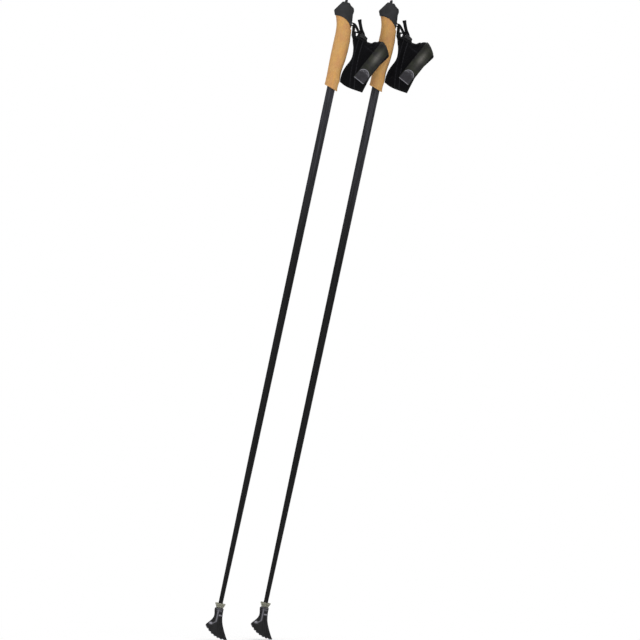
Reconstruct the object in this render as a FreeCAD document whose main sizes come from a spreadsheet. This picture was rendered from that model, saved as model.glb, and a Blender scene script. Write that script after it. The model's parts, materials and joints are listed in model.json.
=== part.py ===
import FreeCAD, Part
import Sketcher
import os
import re

# A pair of fixed-length walking poles with cork grips, strap gloves and rubber paws.
# Millimetres. Shaft and foot are drawn in their pole's own frame: z runs up along the shaft,
# +x points to the glove side and y across the pole. Grip, strap and glove are drawn in the same
# directions with z from the grip's foot. Each Placement then lifts the piece and leans the pole.

Vector = FreeCAD.Vector
Rotation = FreeCAD.Rotation
Placement = FreeCAD.Placement

SIZES = {
    # how the two poles stand
    "lean_angle": 12.1,
    "pair_gap_x": 82.8,
    "pair_gap_y": 46.0,
    "pair_shift_x": -198.0,
    # height of the grip's foot along the pole, and how far plain cutting solids reach
    "grip_z": 1040.0, "tool_reach": 60.0,
    # shaft: outer radii at named heights
    "shaft_foot_z": 65.4, "shaft_foot_radius": 4.0,
    "shaft_low_z": 173.0, "shaft_low_radius": 4.8,
    "shaft_calf_z": 354.0, "shaft_calf_radius": 6.1,
    "shaft_middle_z": 625.0, "shaft_middle_radius": 6.85,
    "shaft_neck_z": 985.0, "shaft_neck_radius": 7.65,
    "shaft_wall": 1.3,
    "glue_line": 0.05,
    # plug in the top of the tube
    "plug_depth": 8.0, "plug_flange": 1.2, "plug_room": 4.0,
    # plastic core between shaft and cork
    "core_foot_z": 7.5, "core_headroom": 1.5, "core_wall": 1.6,
    # cork sleeve: front edge, rear edge and half depth at named heights
    "cork_foot_z": 2.5, "cork_foot_tilt": 19.0,
    "cork_foot_radius": 12.9, "cork_foot_depth": 12.2,
    "cork_palm_z": 52.0, "cork_palm_front": -12.5, "cork_palm_rear": 14.5, "cork_palm_depth": 13.2,
    "cork_finger_z": 98.0, "cork_finger_front": -12.7, "cork_finger_rear": 15.8, "cork_finger_depth": 13.8,
    "cork_neck_z": 118.0, "cork_neck_front": -14.6, "cork_neck_rear": 13.0, "cork_neck_depth": 13.2,
    "cork_crown_z": 139.0, "cork_crown_front": -21.5, "cork_crown_rear": 12.0, "cork_crown_depth": 13.6,
    # round seam between cork and head
    "seam_x": -15.4, "seam_z": 105.0, "seam_radius": 30.7, "seam_floor_z": 116.0,
    # grip head: side outline, from the front lip round to the beak
    "head_half_depth": 14.4, "head_plan_x": -5.8, "head_plan_length": 20.6,
    "head_lip_x": -24.8, "head_lip_z": 144.0,
    "head_brow_x": -19.6, "head_brow_z": 151.6,
    "head_top_front_x": -12.0, "head_top_z": 162.6, "head_top_rear_x": 0.8,
    "head_nape_x": 4.2, "head_nape_z": 158.4,
    "head_corner_x": 10.6, "head_corner_z": 154.2,
    "head_back_x": 12.2, "head_back_z": 149.0,
    "head_waist_x": 11.2, "head_waist_z": 143.0,
    "beak_x": 13.4, "beak_top_z": 126.0,
    "lip_under_x": -21.2, "lip_under_z": 135.0,
    "spigot_length": 24.0,
    # strap pin and the groove that the strap swings in
    "pin_x": 9.4, "pin_z": 125.2, "pin_radius": 1.5, "pin_half_length": 10.5, "pin_fit": 0.05,
    "strap_width": 10.0, "strap_thickness": 2.6, "strap_pin_gap": 0.25, "strap_side_gap": 0.6,
    "groove_x": 1.5, "groove_floor_z": 115.5,
    "passage_step": 5.0, "passage_height": 12.5, "passage_x": -1.8,
    # strap wedge and the slot that it sits in
    "wedge_stand": 0.4, "wedge_length": 25.0, "wedge_half_width": 5.0,
    "wedge_top_front_x": -8.9, "wedge_top_rear_x": -3.0,
    "wedge_foot_front_x": -7.9, "wedge_foot_rear_x": -4.0,
    "wedge_fit": 0.15, "nub_height": 5.2, "nub_front_x": -7.4, "nub_rear_x": -3.6,
    "slot_room": 9.5,
    "anchor_thickness": 1.3, "anchor_drop": 4.0, "anchor_gap": 0.15,
    # strap route from the head to the glove
    "strap_knee_x": 20.3, "strap_knee_z": 124.2,
    "strap_elbow_x": 25.0, "strap_elbow_z": 118.2,
    "strap_buckle_x": 32.0, "strap_buckle_z": 111.0,
    "strap_dip_x": 16.9, "strap_dip_z": 117.4,
    "strap_sewn_x": 19.2, "strap_sewn_z": 108.9,
    "keeper_thickness": 2.0, "keeper_front_x": 19.9, "keeper_rear_x": 27.5, "keeper_z": 111.4,
    # buckle on the glove's upper edge
    "buckle_half_width": 7.0, "buckle_window": 5.4,
    "buckle_front_x": 31.2, "buckle_front_z": 105.8, "buckle_peak_x": 34.0, "buckle_peak_z": 113.8,
    "buckle_crown_x": 40.6, "buckle_crown_z": 110.2,
    "buckle_rear_x": 46.4, "buckle_rear_z": 106.0, "buckle_heel_z": 101.4, "buckle_slot_radius": 1.7,
    "tail_thickness": 1.7, "tail_length": 31.0, "hem_length": 4.0, "tail_angle": 114.2,
    "tail_root_x": 37.4, "tail_root_z": 108.4, "tail_fit": 0.35,
    # glove sleeve: top edge, bottom edge and half depth at named places along x
    "sleeve_mouth_x": 10.0, "sleeve_mouth_top": 111.4, "sleeve_mouth_bottom": 18.0, "sleeve_mouth_depth": 13.0,
    "sleeve_thumb_x": 25.0, "sleeve_thumb_top": 106.6, "sleeve_thumb_bottom": 11.4, "sleeve_thumb_depth": 15.6,
    "sleeve_palm_x": 40.0, "sleeve_palm_top": 102.6, "sleeve_palm_bottom": 8.2, "sleeve_palm_depth": 17.2,
    "sleeve_back_x": 56.0, "sleeve_back_top": 100.2, "sleeve_back_bottom": 6.4, "sleeve_back_depth": 18.0,
    "sleeve_peak_x": 73.0, "sleeve_peak_top": 105.2, "sleeve_peak_bottom": 5.0, "sleeve_peak_depth": 18.0,
    "sleeve_cuff_x": 84.0, "sleeve_cuff_top": 96.4, "sleeve_cuff_bottom": 5.0, "sleeve_cuff_depth": 17.2,
    "sleeve_end_x": 93.0, "sleeve_end_top": 81.0, "sleeve_end_bottom": 5.0, "sleeve_end_depth": 16.4,
    "shell_thickness": 2.4, "lining_thickness": 1.2, "layer_gap": 0.05,
    # mouth edges of the glove, front from top to bottom and rear from bottom to top
    "mouth_top_x": 17.4, "mouth_brow_x": 23.3, "mouth_brow_z": 93.0, "mouth_deep_x": 27.4, "mouth_deep_z": 70.0,
    "mouth_turn_x": 25.4, "mouth_turn_z": 59.0, "mouth_cheek_x": 20.4, "mouth_cheek_z": 48.5,
    "mouth_foot_x": 14.4, "mouth_foot_z": 30.0,
    "cuff_foot_x": 56.4, "cuff_foot_z": 6.0, "cuff_shin_x": 64.6, "cuff_shin_z": 37.0,
    "cuff_calf_x": 77.0, "cuff_calf_z": 62.0, "cuff_knee_x": 91.6, "cuff_knee_z": 81.5,
    # wrist band, closure flap and its patches, along the band's own direction
    "band_x": 46.6, "band_z": 25.6, "band_angle": 63.2, "band_half_width": 11.8,
    "band_thickness": 1.4, "flap_length": 56.0, "flap_gap": 0.6, "band_end_gap": 0.8, "band_reach": 100.0,
    "patch_thickness": 0.7, "patch_length": 22.0, "patch_half_width": 9.0, "patch_start": 3.0,
    "tab_thickness": 1.6, "tab_length": 25.0, "tab_corner": 7.0, "tab_half_width": 10.6,
    # ferrule glued in the shaft's foot
    "flange_radius": 6.7, "flange_foot_z": 63.9, "ferrule_radius": 5.0, "ferrule_foot_z": 29.0,
    "ferrule_spigot_length": 30.0, "tip_socket_depth": 9.0,
    # translucent collar round the shaft's foot
    "collar_top_z": 73.2, "collar_rim_z": 71.0, "collar_top_radius": 9.4, "collar_wall": 1.1,
    "collar_web": 1.9, "collar_fit": 0.12,
    # carbide tip
    "tip_radius": 1.7, "tip_point_radius": 1.1, "tip_point_length": 1.5,
    # rubber paw: front edge, rear edge and half depth at named heights
    "paw_top_z": 63.6, "paw_top_front": -8.1, "paw_top_rear": 8.1,
    "paw_waist_z": 51.0, "paw_waist_front": -7.1, "paw_waist_rear": 8.4, "paw_waist_depth": 7.7,
    "paw_ankle_z": 40.5, "paw_ankle_front": -10.2, "paw_ankle_rear": 10.3, "paw_ankle_depth": 9.8,
    "paw_heel_z": 30.5, "paw_heel_front": -18.1, "paw_heel_rear": 14.0, "paw_heel_depth": 13.2,
    "paw_ball_z": 18.0, "paw_ball_front": -18.6, "paw_ball_rear": 20.4, "paw_ball_depth": 15.0,
    "paw_floor_z": 6.0, "paw_floor_front": -16.0, "paw_floor_rear": 29.0, "paw_floor_depth": 15.4,
    "rocker_x": 20.6, "rocker_z": 56.7, "rocker_radius": 48.6, "toe_x": 26.6,
    "tread_radius": 1.5, "tread_pitch": 8.0, "tread_first": -44.0,
    "paw_fit": 0.05, "tip_hole_gap": 0.4,
    "washer_z": 20.2, "washer_radius": 6.0, "washer_thickness": 1.4, "tip_rest_gap": 0.2,
}

# heights that follow from the sizes, measured from the grip's foot
CORE_TOP = "(groove_floor_z - core_headroom)"
SPIGOT_FOOT = f"({CORE_TOP} - spigot_length)"
SHAFT_TOP = f"(grip_z + {SPIGOT_FOOT} - plug_room)"
PASSAGE_FOOT = "(groove_floor_z + passage_step)"
PASSAGE_TOP = "(groove_floor_z + passage_step + passage_height)"
WEDGE_TOP = "(head_top_z + wedge_stand)"
WEDGE_FOOT = "(head_top_z + wedge_stand - wedge_length)"

TREAD_COUNT = 6
POLES = {"a": -0.5, "b": 0.5}

doc = FreeCAD.newDocument("walking_poles")
sheet = doc.addObject("Spreadsheet::Sheet", "Sizes")
for row, (alias, number) in enumerate(SIZES.items(), start=1):
    sheet.set(f"A{row}", alias)
    sheet.set(f"B{row}", str(number))
    sheet.setAlias(f"B{row}", alias)
doc.recompute()


def sized(text):
    """Point every size name in an expression at its cell in the sheet."""
    return re.sub(r"[a-z_]+", lambda word: f"Sizes.{word.group()}" if word.group() in SIZES else word.group(), text)


def bind(thing, **expressions):
    """Tie properties of an object to expressions of the sheet's sizes."""
    for name, text in expressions.items():
        thing.setExpression(name, sized(text))
    return thing


def locate(thing, x="0", y="0", z="0", axis="0; 1; 0", turn="0"):
    """Tie an object's Placement to a point and a turn about an axis through it."""
    place = f"placement(vector({x}; {y}; {z}); rotation(vector({axis}); {turn}))"
    thing.setExpression("Placement", sized(place))
    return thing


def box(x_low, x_high, half_width, z_low, z_high):
    """A box between two x and two z values, centred on y = 0."""
    solid = doc.addObject("Part::Box", "box")
    bind(solid, Length=f"({x_high}) - ({x_low})", Width=f"2 * ({half_width})", Height=f"({z_high}) - ({z_low})")
    return locate(solid, x_low, f"-({half_width})", z_low)


def rod(x, z, radius, half_width):
    """A cylinder along y, centred on y = 0."""
    solid = doc.addObject("Part::Cylinder", "rod")
    bind(solid, Radius=radius, Height=f"2 * ({half_width})")
    return locate(solid, x, half_width, z, "1; 0; 0", "90")


def post(radius, z_low, z_high):
    """A cylinder along the pole's axis."""
    solid = doc.addObject("Part::Cylinder", "post")
    bind(solid, Radius=radius, Height=f"({z_high}) - ({z_low})")
    return locate(solid, z=z_low)


def cut(base, tool):
    """The base without the tool."""
    result = doc.addObject("Part::Cut", "cut")
    result.Base = base
    result.Tool = tool
    return result


def common(base, tool):
    """What the base and the tool share."""
    result = doc.addObject("Part::Common", "common")
    result.Base = base
    result.Tool = tool
    return result


def fuse(*solids):
    """Several solids as one."""
    result = doc.addObject("Part::MultiFuse", "fuse")
    result.Shapes = list(solids)
    return result


def new_body(name):
    """An empty PartDesign body."""
    return doc.addObject("PartDesign::Body", name)


def side_sketch(body):
    """An empty sketch on the body's own xz plane."""
    sketch = body.newObject("Sketcher::SketchObject", "sketch")
    plane = [feature for feature in body.Origin.OriginFeatures if feature.Role == "XZ_Plane"][0]
    sketch.AttachmentSupport = [(plane, "")]
    sketch.MapMode = "FlatFace"
    return sketch


def measure(sketch, kind, geometry, point, text):
    """A DistanceX or DistanceY constraint from the sketch's origin, tied to an expression."""
    number = sketch.addConstraint(Sketcher.Constraint(kind, geometry, point, 1.0))
    sketch.setExpression(f"Constraints[{number}]", sized(text))


def outline_sketch(body, corners):
    """A closed outline in the body's xz plane. Corners are pairs of expressions."""
    sketch = side_sketch(body)
    count = len(corners)
    for index in range(count):
        start = Vector(index, index * index, 0)
        end = Vector(index + 1, (index + 1) ** 2, 0)
        sketch.addGeometry(Part.LineSegment(start, end), False)
    for index in range(count):
        sketch.addConstraint(Sketcher.Constraint("Coincident", index, 2, (index + 1) % count, 1))
    for index, (across, up) in enumerate(corners):
        measure(sketch, "DistanceX", index, 1, across)
        measure(sketch, "DistanceY", index, 1, up)
    return sketch


def pad_both_ways(body, sketch, half_width):
    """Pad a sketch to both sides of y = 0."""
    pad = body.newObject("PartDesign::Pad", "pad")
    pad.Profile = sketch
    pad.SideType = "Symmetric"
    bind(pad, Length=f"2 * ({half_width})")
    return body


def plate(name, corners, half_width):
    """An outline in the xz plane, padded to both sides of y = 0."""
    body = new_body(name)
    return pad_both_ways(body, outline_sketch(body, corners), half_width)


def cross_bar(name, x, z, radius, half_width):
    """A round bar across the pole."""
    body = new_body(name)
    sketch = side_sketch(body)
    sketch.addGeometry(Part.Circle(Vector(1, 1, 0), Vector(0, 0, 1), 1), False)
    measure(sketch, "DistanceX", 0, 3, x)
    measure(sketch, "DistanceY", 0, 3, z)
    number = sketch.addConstraint(Sketcher.Constraint("Radius", 0, 1.0))
    sketch.setExpression(f"Constraints[{number}]", sized(radius))
    return pad_both_ways(body, sketch, half_width)


def turned(name, corners):
    """A body turned about the pole's axis. Corners are pairs of radius and height."""
    body = new_body(name)
    sketch = outline_sketch(body, corners)
    revolution = body.newObject("PartDesign::Revolution", "revolution")
    revolution.Profile = sketch
    revolution.ReferenceAxis = (sketch, ["V_Axis"])
    revolution.Angle = 360
    return body


def level_ellipse(front, rear, half_depth, z, tilt="0"):
    """A flat ellipse across the pole between a front and a rear edge."""
    curve = doc.addObject("Part::Ellipse", "level")
    bind(curve, MajorRadius=f"(({rear}) - ({front})) / 2", MinorRadius=half_depth)
    return locate(curve, f"(({front}) + ({rear})) / 2", "0", z, "0; 1; 0", tilt)


def upright_ellipse(place, offset):
    """A section of the glove's sleeve at a named place, grown by an offset."""
    top = f"sleeve_{place}_top"
    bottom = f"sleeve_{place}_bottom"
    curve = doc.addObject("Part::Ellipse", "upright")
    bind(curve, MajorRadius=f"({top} - {bottom}) / 2 + ({offset})", MinorRadius=f"sleeve_{place}_depth + ({offset})")
    return locate(curve, f"sleeve_{place}_x", "0", f"({top} + {bottom}) / 2", "0; 1; 0", "-90")


def loft(sections):
    """A smooth solid through a row of sections."""
    result = doc.addObject("Part::Loft", "loft")
    result.Sections = sections
    result.Solid = True
    return result


def strap_run(x_start, z_start, x_end, z_end, thickness, half_width):
    """A flat run of webbing whose middle goes from one point to another, square at both ends."""
    run = doc.addObject("Part::Box", "run")
    across = f"(({x_end}) - ({x_start}))"
    up = f"(({z_end}) - ({z_start}))"
    angle = f"atan2({up}; {across})"
    bind(run, Length=f"sqrt({across}^2 + {up}^2)", Width=f"2 * ({half_width})", Height=thickness)
    return locate(
        run,
        f"({x_start}) + ({thickness}) / 2 * sin({angle})",
        f"-({half_width})",
        f"({z_start}) - ({thickness}) / 2 * cos({angle})",
        "0; 1; 0",
        f"-({angle})",
    )


# ---- shaft and grip -------------------------------------------------------------------


def shaft():
    """Tapered carbon tube, wide under the grip and slim at the foot."""
    stations = ("foot", "low", "calf", "middle", "neck")
    outside = [(f"shaft_{name}_radius", f"shaft_{name}_z") for name in stations]
    outside.append(("shaft_neck_radius", SHAFT_TOP))
    inside = [(f"{radius} - shaft_wall", z) for radius, z in reversed(outside)]
    return turned("shaft", outside + inside)


def shaft_plug():
    """Flanged plug that closes the top of the tube."""
    bore = "shaft_neck_radius - shaft_wall - glue_line"
    return turned("shaft_plug", [
        ("0", f"{SHAFT_TOP} - plug_depth"),
        (bore, f"{SHAFT_TOP} - plug_depth"),
        (bore, SHAFT_TOP),
        ("shaft_neck_radius", SHAFT_TOP),
        ("shaft_neck_radius", f"{SHAFT_TOP} + plug_flange"),
        ("0", f"{SHAFT_TOP} + plug_flange"),
    ])


CORE_BORE = "shaft_neck_radius + glue_line"
CORE_OUTSIDE = f"{CORE_BORE} + core_wall"


def grip_core():
    """Plastic sleeve between the shaft and the cork."""
    return turned("grip_core", [
        (CORE_BORE, "core_foot_z"),
        (CORE_OUTSIDE, "core_foot_z"),
        (CORE_OUTSIDE, CORE_TOP),
        (CORE_BORE, CORE_TOP),
    ])


def strap_groove():
    """Space in the rear of cork and head where the strap swings, with the passage to the wedge."""
    half_width = "strap_width / 2 + strap_side_gap"
    groove = box("groove_x", "beak_x + tool_reach", half_width, "groove_floor_z", "head_top_z + tool_reach")
    passage = box("passage_x", "groove_x + passage_step", half_width, PASSAGE_FOOT, PASSAGE_TOP)
    return fuse(groove, passage)


def seam_block(clearance):
    """What lies above the round seam between cork and head."""
    block = box("seam_x - tool_reach", "seam_x + tool_reach", "tool_reach / 2", "seam_floor_z", "seam_z + tool_reach")
    return cut(block, rod("seam_x", "seam_z", f"seam_radius + ({clearance})", "tool_reach"))


def cork_grip():
    """Cork sleeve with a slanted foot, waisted for the hand, under the round seam."""
    sections = [level_ellipse("-cork_foot_radius", "cork_foot_radius", "cork_foot_depth", "cork_foot_z",
                              "cork_foot_tilt")]
    for name in ("palm", "finger", "neck", "crown"):
        sections.append(level_ellipse(f"cork_{name}_front", f"cork_{name}_rear", f"cork_{name}_depth",
                                      f"cork_{name}_z"))
    sleeve = cut(loft(sections), seam_block("-glue_line"))
    core_room = post(f"{CORE_OUTSIDE} + glue_line", "cork_foot_z - tool_reach", f"{CORE_TOP} + glue_line")
    spigot_room = post(CORE_BORE, f"{CORE_TOP} - core_wall", "head_top_z + tool_reach")
    pin_room = rod("pin_x", "pin_z", "pin_radius + pin_fit", "pin_half_length + pin_radius")
    return cut(sleeve, fuse(core_room, spigot_room, strap_groove(), pin_room))


def wedge_corners(clearance):
    """Side outline of the tapered wedge, grown by a clearance at front and rear."""
    return [
        (f"wedge_foot_front_x - ({clearance})", WEDGE_FOOT),
        (f"wedge_foot_rear_x + ({clearance})", WEDGE_FOOT),
        (f"wedge_top_rear_x + ({clearance})", WEDGE_TOP),
        (f"wedge_top_front_x - ({clearance})", WEDGE_TOP),
    ]


def wedge_slot():
    """Slot in the head for the wedge and for the strap end beside it."""
    rear = "wedge_top_rear_x + wedge_fit + anchor_gap * 2 + anchor_thickness"
    front = "wedge_top_front_x - wedge_fit"
    floor = f"{WEDGE_FOOT} - slot_room"
    return box(front, rear, "wedge_half_width + wedge_fit * 2", floor, "head_top_z + tool_reach")


def grip_head():
    """Plastic head with a front lip, a beak at the rear and a spigot down into the core."""
    side = plate("head_side", [
        ("lip_under_x", "lip_under_z"),
        ("beak_x", "seam_floor_z"),
        ("beak_x", "beak_top_z"),
        ("head_waist_x", "head_waist_z"),
        ("head_back_x", "head_back_z"),
        ("head_corner_x", "head_corner_z"),
        ("head_nape_x", "head_nape_z"),
        ("head_top_rear_x", "head_top_z"),
        ("head_top_front_x", "head_top_z"),
        ("head_brow_x", "head_brow_z"),
        ("head_lip_x", "head_lip_z"),
    ], "head_half_depth")
    plan = doc.addObject("Part::Ellipse", "head_plan")
    bind(plan, MajorRadius="head_plan_length", MinorRadius="head_half_depth")
    locate(plan, "head_plan_x", "0", "seam_floor_z")
    column = doc.addObject("Part::Extrusion", "head_column")
    column.Base = plan
    column.DirMode = "Custom"
    column.Dir = Vector(0, 0, 1)
    column.Solid = True
    bind(column, LengthFwd="head_top_z - seam_floor_z")
    cap = cut(common(side, column), rod("seam_x", "seam_z", "seam_radius", "tool_reach"))
    spigot = post(f"{CORE_BORE} - 2 * glue_line", SPIGOT_FOOT, "lip_under_z")
    hollow = fuse(strap_groove(), wedge_slot(), rod("pin_x", "pin_z", "pin_radius + pin_fit", "pin_half_length"))
    return cut(fuse(cap, spigot), hollow)


def strap_pin():
    """Steel cross pin that the strap loop goes round."""
    return cross_bar("strap_pin", "pin_x", "pin_z", "pin_radius", "pin_half_length")


def strap_wedge():
    """Tapered wedge that clamps the strap end; its nub stands above the head."""
    block = plate("wedge_block", wedge_corners("0"), "wedge_half_width")
    nub = plate("wedge_nub", [
        ("wedge_top_front_x", WEDGE_TOP),
        ("wedge_top_rear_x", WEDGE_TOP),
        ("nub_rear_x", f"{WEDGE_TOP} + nub_height"),
        ("nub_front_x", f"{WEDGE_TOP} + nub_height"),
    ], "wedge_half_width")
    return fuse(block, nub)


def strap_anchor():
    """End of the webbing, clamped beside the wedge and led through the passage to the pin."""
    middle_x = "wedge_top_rear_x + wedge_fit + anchor_gap + anchor_thickness / 2"
    half_width = "strap_width / 2 - strap_side_gap"
    bend_z = f"{PASSAGE_TOP} - anchor_thickness * 1.5"
    top_z = f"{WEDGE_TOP} - anchor_drop"
    upright = strap_run(middle_x, bend_z, middle_x, top_z, "anchor_thickness", half_width)
    bend = rod(middle_x, bend_z, "anchor_thickness / 2", half_width)
    end_x = "pin_x - pin_radius - strap_thickness - anchor_thickness * 1.7"
    lead = strap_run(middle_x, bend_z, end_x, "pin_z + anchor_thickness", "anchor_thickness", half_width)
    return fuse(upright, bend, lead)


# ---- strap, buckle and glove ----------------------------------------------------------


def strap_loop():
    """Doubled webbing round the pin, with one run to the buckle and one sewn to the glove."""
    half_width = "strap_width / 2"
    middle = "pin_radius + strap_pin_gap + strap_thickness / 2"
    upper = [("pin_x", f"pin_z + {middle}"), ("strap_knee_x", "strap_knee_z"),
             ("strap_elbow_x", "strap_elbow_z"), ("strap_buckle_x", "strap_buckle_z")]
    lower = [("pin_x", f"pin_z - ({middle})"), ("strap_dip_x", "strap_dip_z"), ("strap_sewn_x", "strap_sewn_z")]
    pieces = [rod("pin_x", "pin_z", f"{middle} + strap_thickness / 2", half_width)]
    for route in (upper, lower):
        for (x_start, z_start), (x_end, z_end) in zip(route, route[1:]):
            pieces.append(strap_run(x_start, z_start, x_end, z_end, "strap_thickness", half_width))
        for x, z in route[1:-1]:
            pieces.append(rod(x, z, "strap_thickness / 2", half_width))
    eye_room = rod("pin_x", "pin_z", "pin_radius + strap_pin_gap", "strap_width")
    return cut(fuse(*pieces), eye_room)


def strap_keeper():
    """Short cross piece that holds the two strap runs together over the glove."""
    return plate("strap_keeper", [
        ("keeper_front_x", "keeper_z"),
        ("keeper_rear_x", "keeper_z"),
        ("keeper_rear_x", "keeper_z + keeper_thickness"),
        ("keeper_front_x", "keeper_z + keeper_thickness"),
    ], "strap_width / 2")


def tail_point(distance):
    """A point on the tail's middle line, measured from its root in the buckle."""
    return f"tail_root_x + {distance} * cos(tail_angle)", f"tail_root_z + {distance} * sin(tail_angle)"


def strap_buckle():
    """Ladder lock with a rear bar, and a channel for the tail."""
    frame = plate("buckle_frame", [
        ("buckle_front_x", "buckle_front_z"),
        ("buckle_rear_x", "buckle_heel_z"),
        ("buckle_rear_x", "buckle_rear_z"),
        ("buckle_crown_x", "buckle_crown_z"),
        ("buckle_peak_x", "buckle_peak_z"),
    ], "buckle_half_width")
    bottom = tail_point("-(tail_fit + tail_length / 4)")
    top = tail_point("(tail_length * 5 / 4)")
    channel = strap_run(*bottom, *top, "tail_thickness + 2 * tail_fit", "buckle_window")
    rear_window = rod("(buckle_crown_x + buckle_rear_x) / 2", "(buckle_crown_z + buckle_heel_z) / 2",
                      "buckle_slot_radius", "buckle_window")
    return cut(frame, fuse(channel, rear_window))


def strap_tail():
    """Loose end of the webbing, standing out of the buckle."""
    root = tail_point("0")
    end = tail_point("tail_length")
    hem_start = tail_point("(tail_length - hem_length)")
    strap = strap_run(*root, *end, "tail_thickness", "strap_width / 2")
    hem = strap_run(*hem_start, *end, "2 * tail_thickness", "strap_width / 2")
    return fuse(strap, hem)


def sleeve(offset):
    """The closed outer form of the glove's sleeve, grown by an offset."""
    places = ("mouth", "thumb", "palm", "back", "peak", "cuff", "end")
    return loft([upright_ellipse(place, offset) for place in places])


def glove_side():
    """Side outline of the glove: both mouths are cut to this line."""
    return plate("glove_side", [
        ("mouth_top_x", "sleeve_mouth_top + tool_reach"),
        ("mouth_top_x", "sleeve_mouth_top - shell_thickness"),
        ("mouth_brow_x", "mouth_brow_z"),
        ("mouth_deep_x", "mouth_deep_z"),
        ("mouth_turn_x", "mouth_turn_z"),
        ("mouth_cheek_x", "mouth_cheek_z"),
        ("mouth_foot_x", "mouth_foot_z"),
        ("mouth_foot_x", "sleeve_mouth_bottom - tool_reach"),
        ("cuff_foot_x", "sleeve_mouth_bottom - tool_reach"),
        ("cuff_foot_x", "cuff_foot_z"),
        ("cuff_shin_x", "cuff_shin_z"),
        ("cuff_calf_x", "cuff_calf_z"),
        ("cuff_knee_x", "cuff_knee_z"),
        ("cuff_knee_x", "sleeve_mouth_top + tool_reach"),
    ], "tool_reach")


def layer(inner_offset, outer_offset):
    """A layer that follows the sleeve between two offsets."""
    return cut(sleeve(outer_offset), sleeve(inner_offset))


def glove_shell():
    """Outer fabric of the glove, open at both mouths."""
    return common(layer("-shell_thickness", "0"), glove_side())


def glove_lining():
    """Soft lining inside the shell."""
    outer = "-(shell_thickness + layer_gap)"
    return common(layer(f"{outer} - lining_thickness", outer), glove_side())


def band_point(along, across):
    """A point in the band's own directions: along the band, and across it towards the cuff."""
    x = f"band_x + ({along}) * cos(band_angle) + ({across}) * sin(band_angle)"
    z = f"band_z + ({along}) * sin(band_angle) - ({across}) * cos(band_angle)"
    return x, z


def band_plate(name, start, end, half_width, corner="0"):
    """A flat piece lying along the band, with its lower end square and its upper corners cut."""
    return plate(name, [
        band_point(start, f"-({half_width})"),
        band_point(start, half_width),
        band_point(f"{end} - ({corner})", half_width),
        band_point(end, f"{half_width} - ({corner}) * 1.001 - 0.001"),
        band_point(end, f"-({half_width}) + ({corner}) * 1.001 + 0.001"),
        band_point(f"{end} - ({corner})", f"-({half_width})"),
    ], "tool_reach")


def near_side(solid):
    """The part of a solid on the outward face of the glove, at negative y."""
    half = doc.addObject("Part::Box", "near_half")
    bind(half, Length="4 * tool_reach", Width="tool_reach", Height="4 * tool_reach")
    locate(half, "-tool_reach", "-tool_reach", "-tool_reach")
    return common(solid, half)


PATCH_TOP = "layer_gap + patch_thickness"
HOOK_FOOT = f"{PATCH_TOP} + flap_gap"
HOOK_TOP = f"{HOOK_FOOT} + patch_thickness"
FLAP_FOOT = f"{HOOK_TOP} + layer_gap"
FLAP_TOP = f"{FLAP_FOOT} + band_thickness"


def wrist_band():
    """Band sewn round the sleeve, missing where the closure flap lies."""
    strip = band_plate("band_strip", "-band_reach", "band_reach", "band_half_width")
    flap_room = near_side(band_plate("flap_room", "-band_reach", "flap_length + band_end_gap", "band_half_width * 1.5"))
    ring = common(layer("layer_gap", "layer_gap + band_thickness"), strip)
    return cut(ring, flap_room)


def loop_patch():
    """Loop side of the fastening, sewn to the glove."""
    strip = band_plate("loop_strip", "patch_start", "patch_start + patch_length", "patch_half_width")
    return near_side(common(layer("layer_gap", PATCH_TOP), strip))


def hook_patch():
    """Hook side of the fastening, under the flap."""
    strip = band_plate("hook_strip", "patch_start", "patch_start + patch_length", "patch_half_width")
    return near_side(common(layer(HOOK_FOOT, HOOK_TOP), strip))


def closure_flap():
    """Free end of the band, lying over the outward face of the glove."""
    strip = band_plate("flap_strip", "0", "flap_length", "band_half_width")
    return near_side(common(layer(FLAP_FOOT, FLAP_TOP), strip))


def closure_tab():
    """Moulded rubber pull tab on the flap's free end."""
    strip = band_plate("tab_strip", "0", "tab_length", "tab_half_width", "tab_corner")
    return near_side(common(layer(f"{FLAP_TOP} + layer_gap", f"{FLAP_TOP} + layer_gap + tab_thickness"), strip))


# ---- foot -----------------------------------------------------------------------------


def tip_ferrule():
    """Plastic foot: a spigot in the tube, a flange and a long body with a socket for the tip."""
    spigot = "shaft_foot_radius - shaft_wall - glue_line"
    return turned("tip_ferrule", [
        ("0", "ferrule_foot_z + tip_socket_depth"),
        ("tip_radius", "ferrule_foot_z + tip_socket_depth"),
        ("tip_radius", "ferrule_foot_z"),
        ("ferrule_radius", "ferrule_foot_z"),
        ("ferrule_radius", "flange_foot_z"),
        ("flange_radius", "flange_foot_z"),
        ("flange_radius", "shaft_foot_z"),
        (spigot, "shaft_foot_z"),
        (spigot, "shaft_foot_z + ferrule_spigot_length"),
        ("0", "shaft_foot_z + ferrule_spigot_length"),
    ])


def tip_collar():
    """Translucent funnel that stands round the shaft on the ferrule's flange."""
    bore = "shaft_foot_radius + collar_fit"
    foot = "shaft_foot_z"
    return turned("tip_collar", [
        (bore, foot),
        ("flange_radius", foot),
        ("collar_top_radius", "collar_rim_z"),
        ("collar_top_radius", "collar_top_z"),
        ("collar_top_radius - collar_wall", "collar_top_z"),
        ("collar_top_radius - collar_wall", "collar_rim_z"),
        ("flange_radius - collar_wall", f"{foot} + collar_web"),
        (bore, f"{foot} + collar_web"),
    ])


TIP_FOOT = "washer_z + washer_thickness + tip_rest_gap"


def carbide_tip():
    """Tungsten carbide pin in the ferrule's socket."""
    return turned("carbide_tip", [
        ("0", TIP_FOOT),
        ("tip_point_radius", TIP_FOOT),
        ("tip_radius", f"{TIP_FOOT} + tip_point_length"),
        ("tip_radius", "ferrule_foot_z + tip_socket_depth"),
        ("0", "ferrule_foot_z + tip_socket_depth"),
    ])


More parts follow.
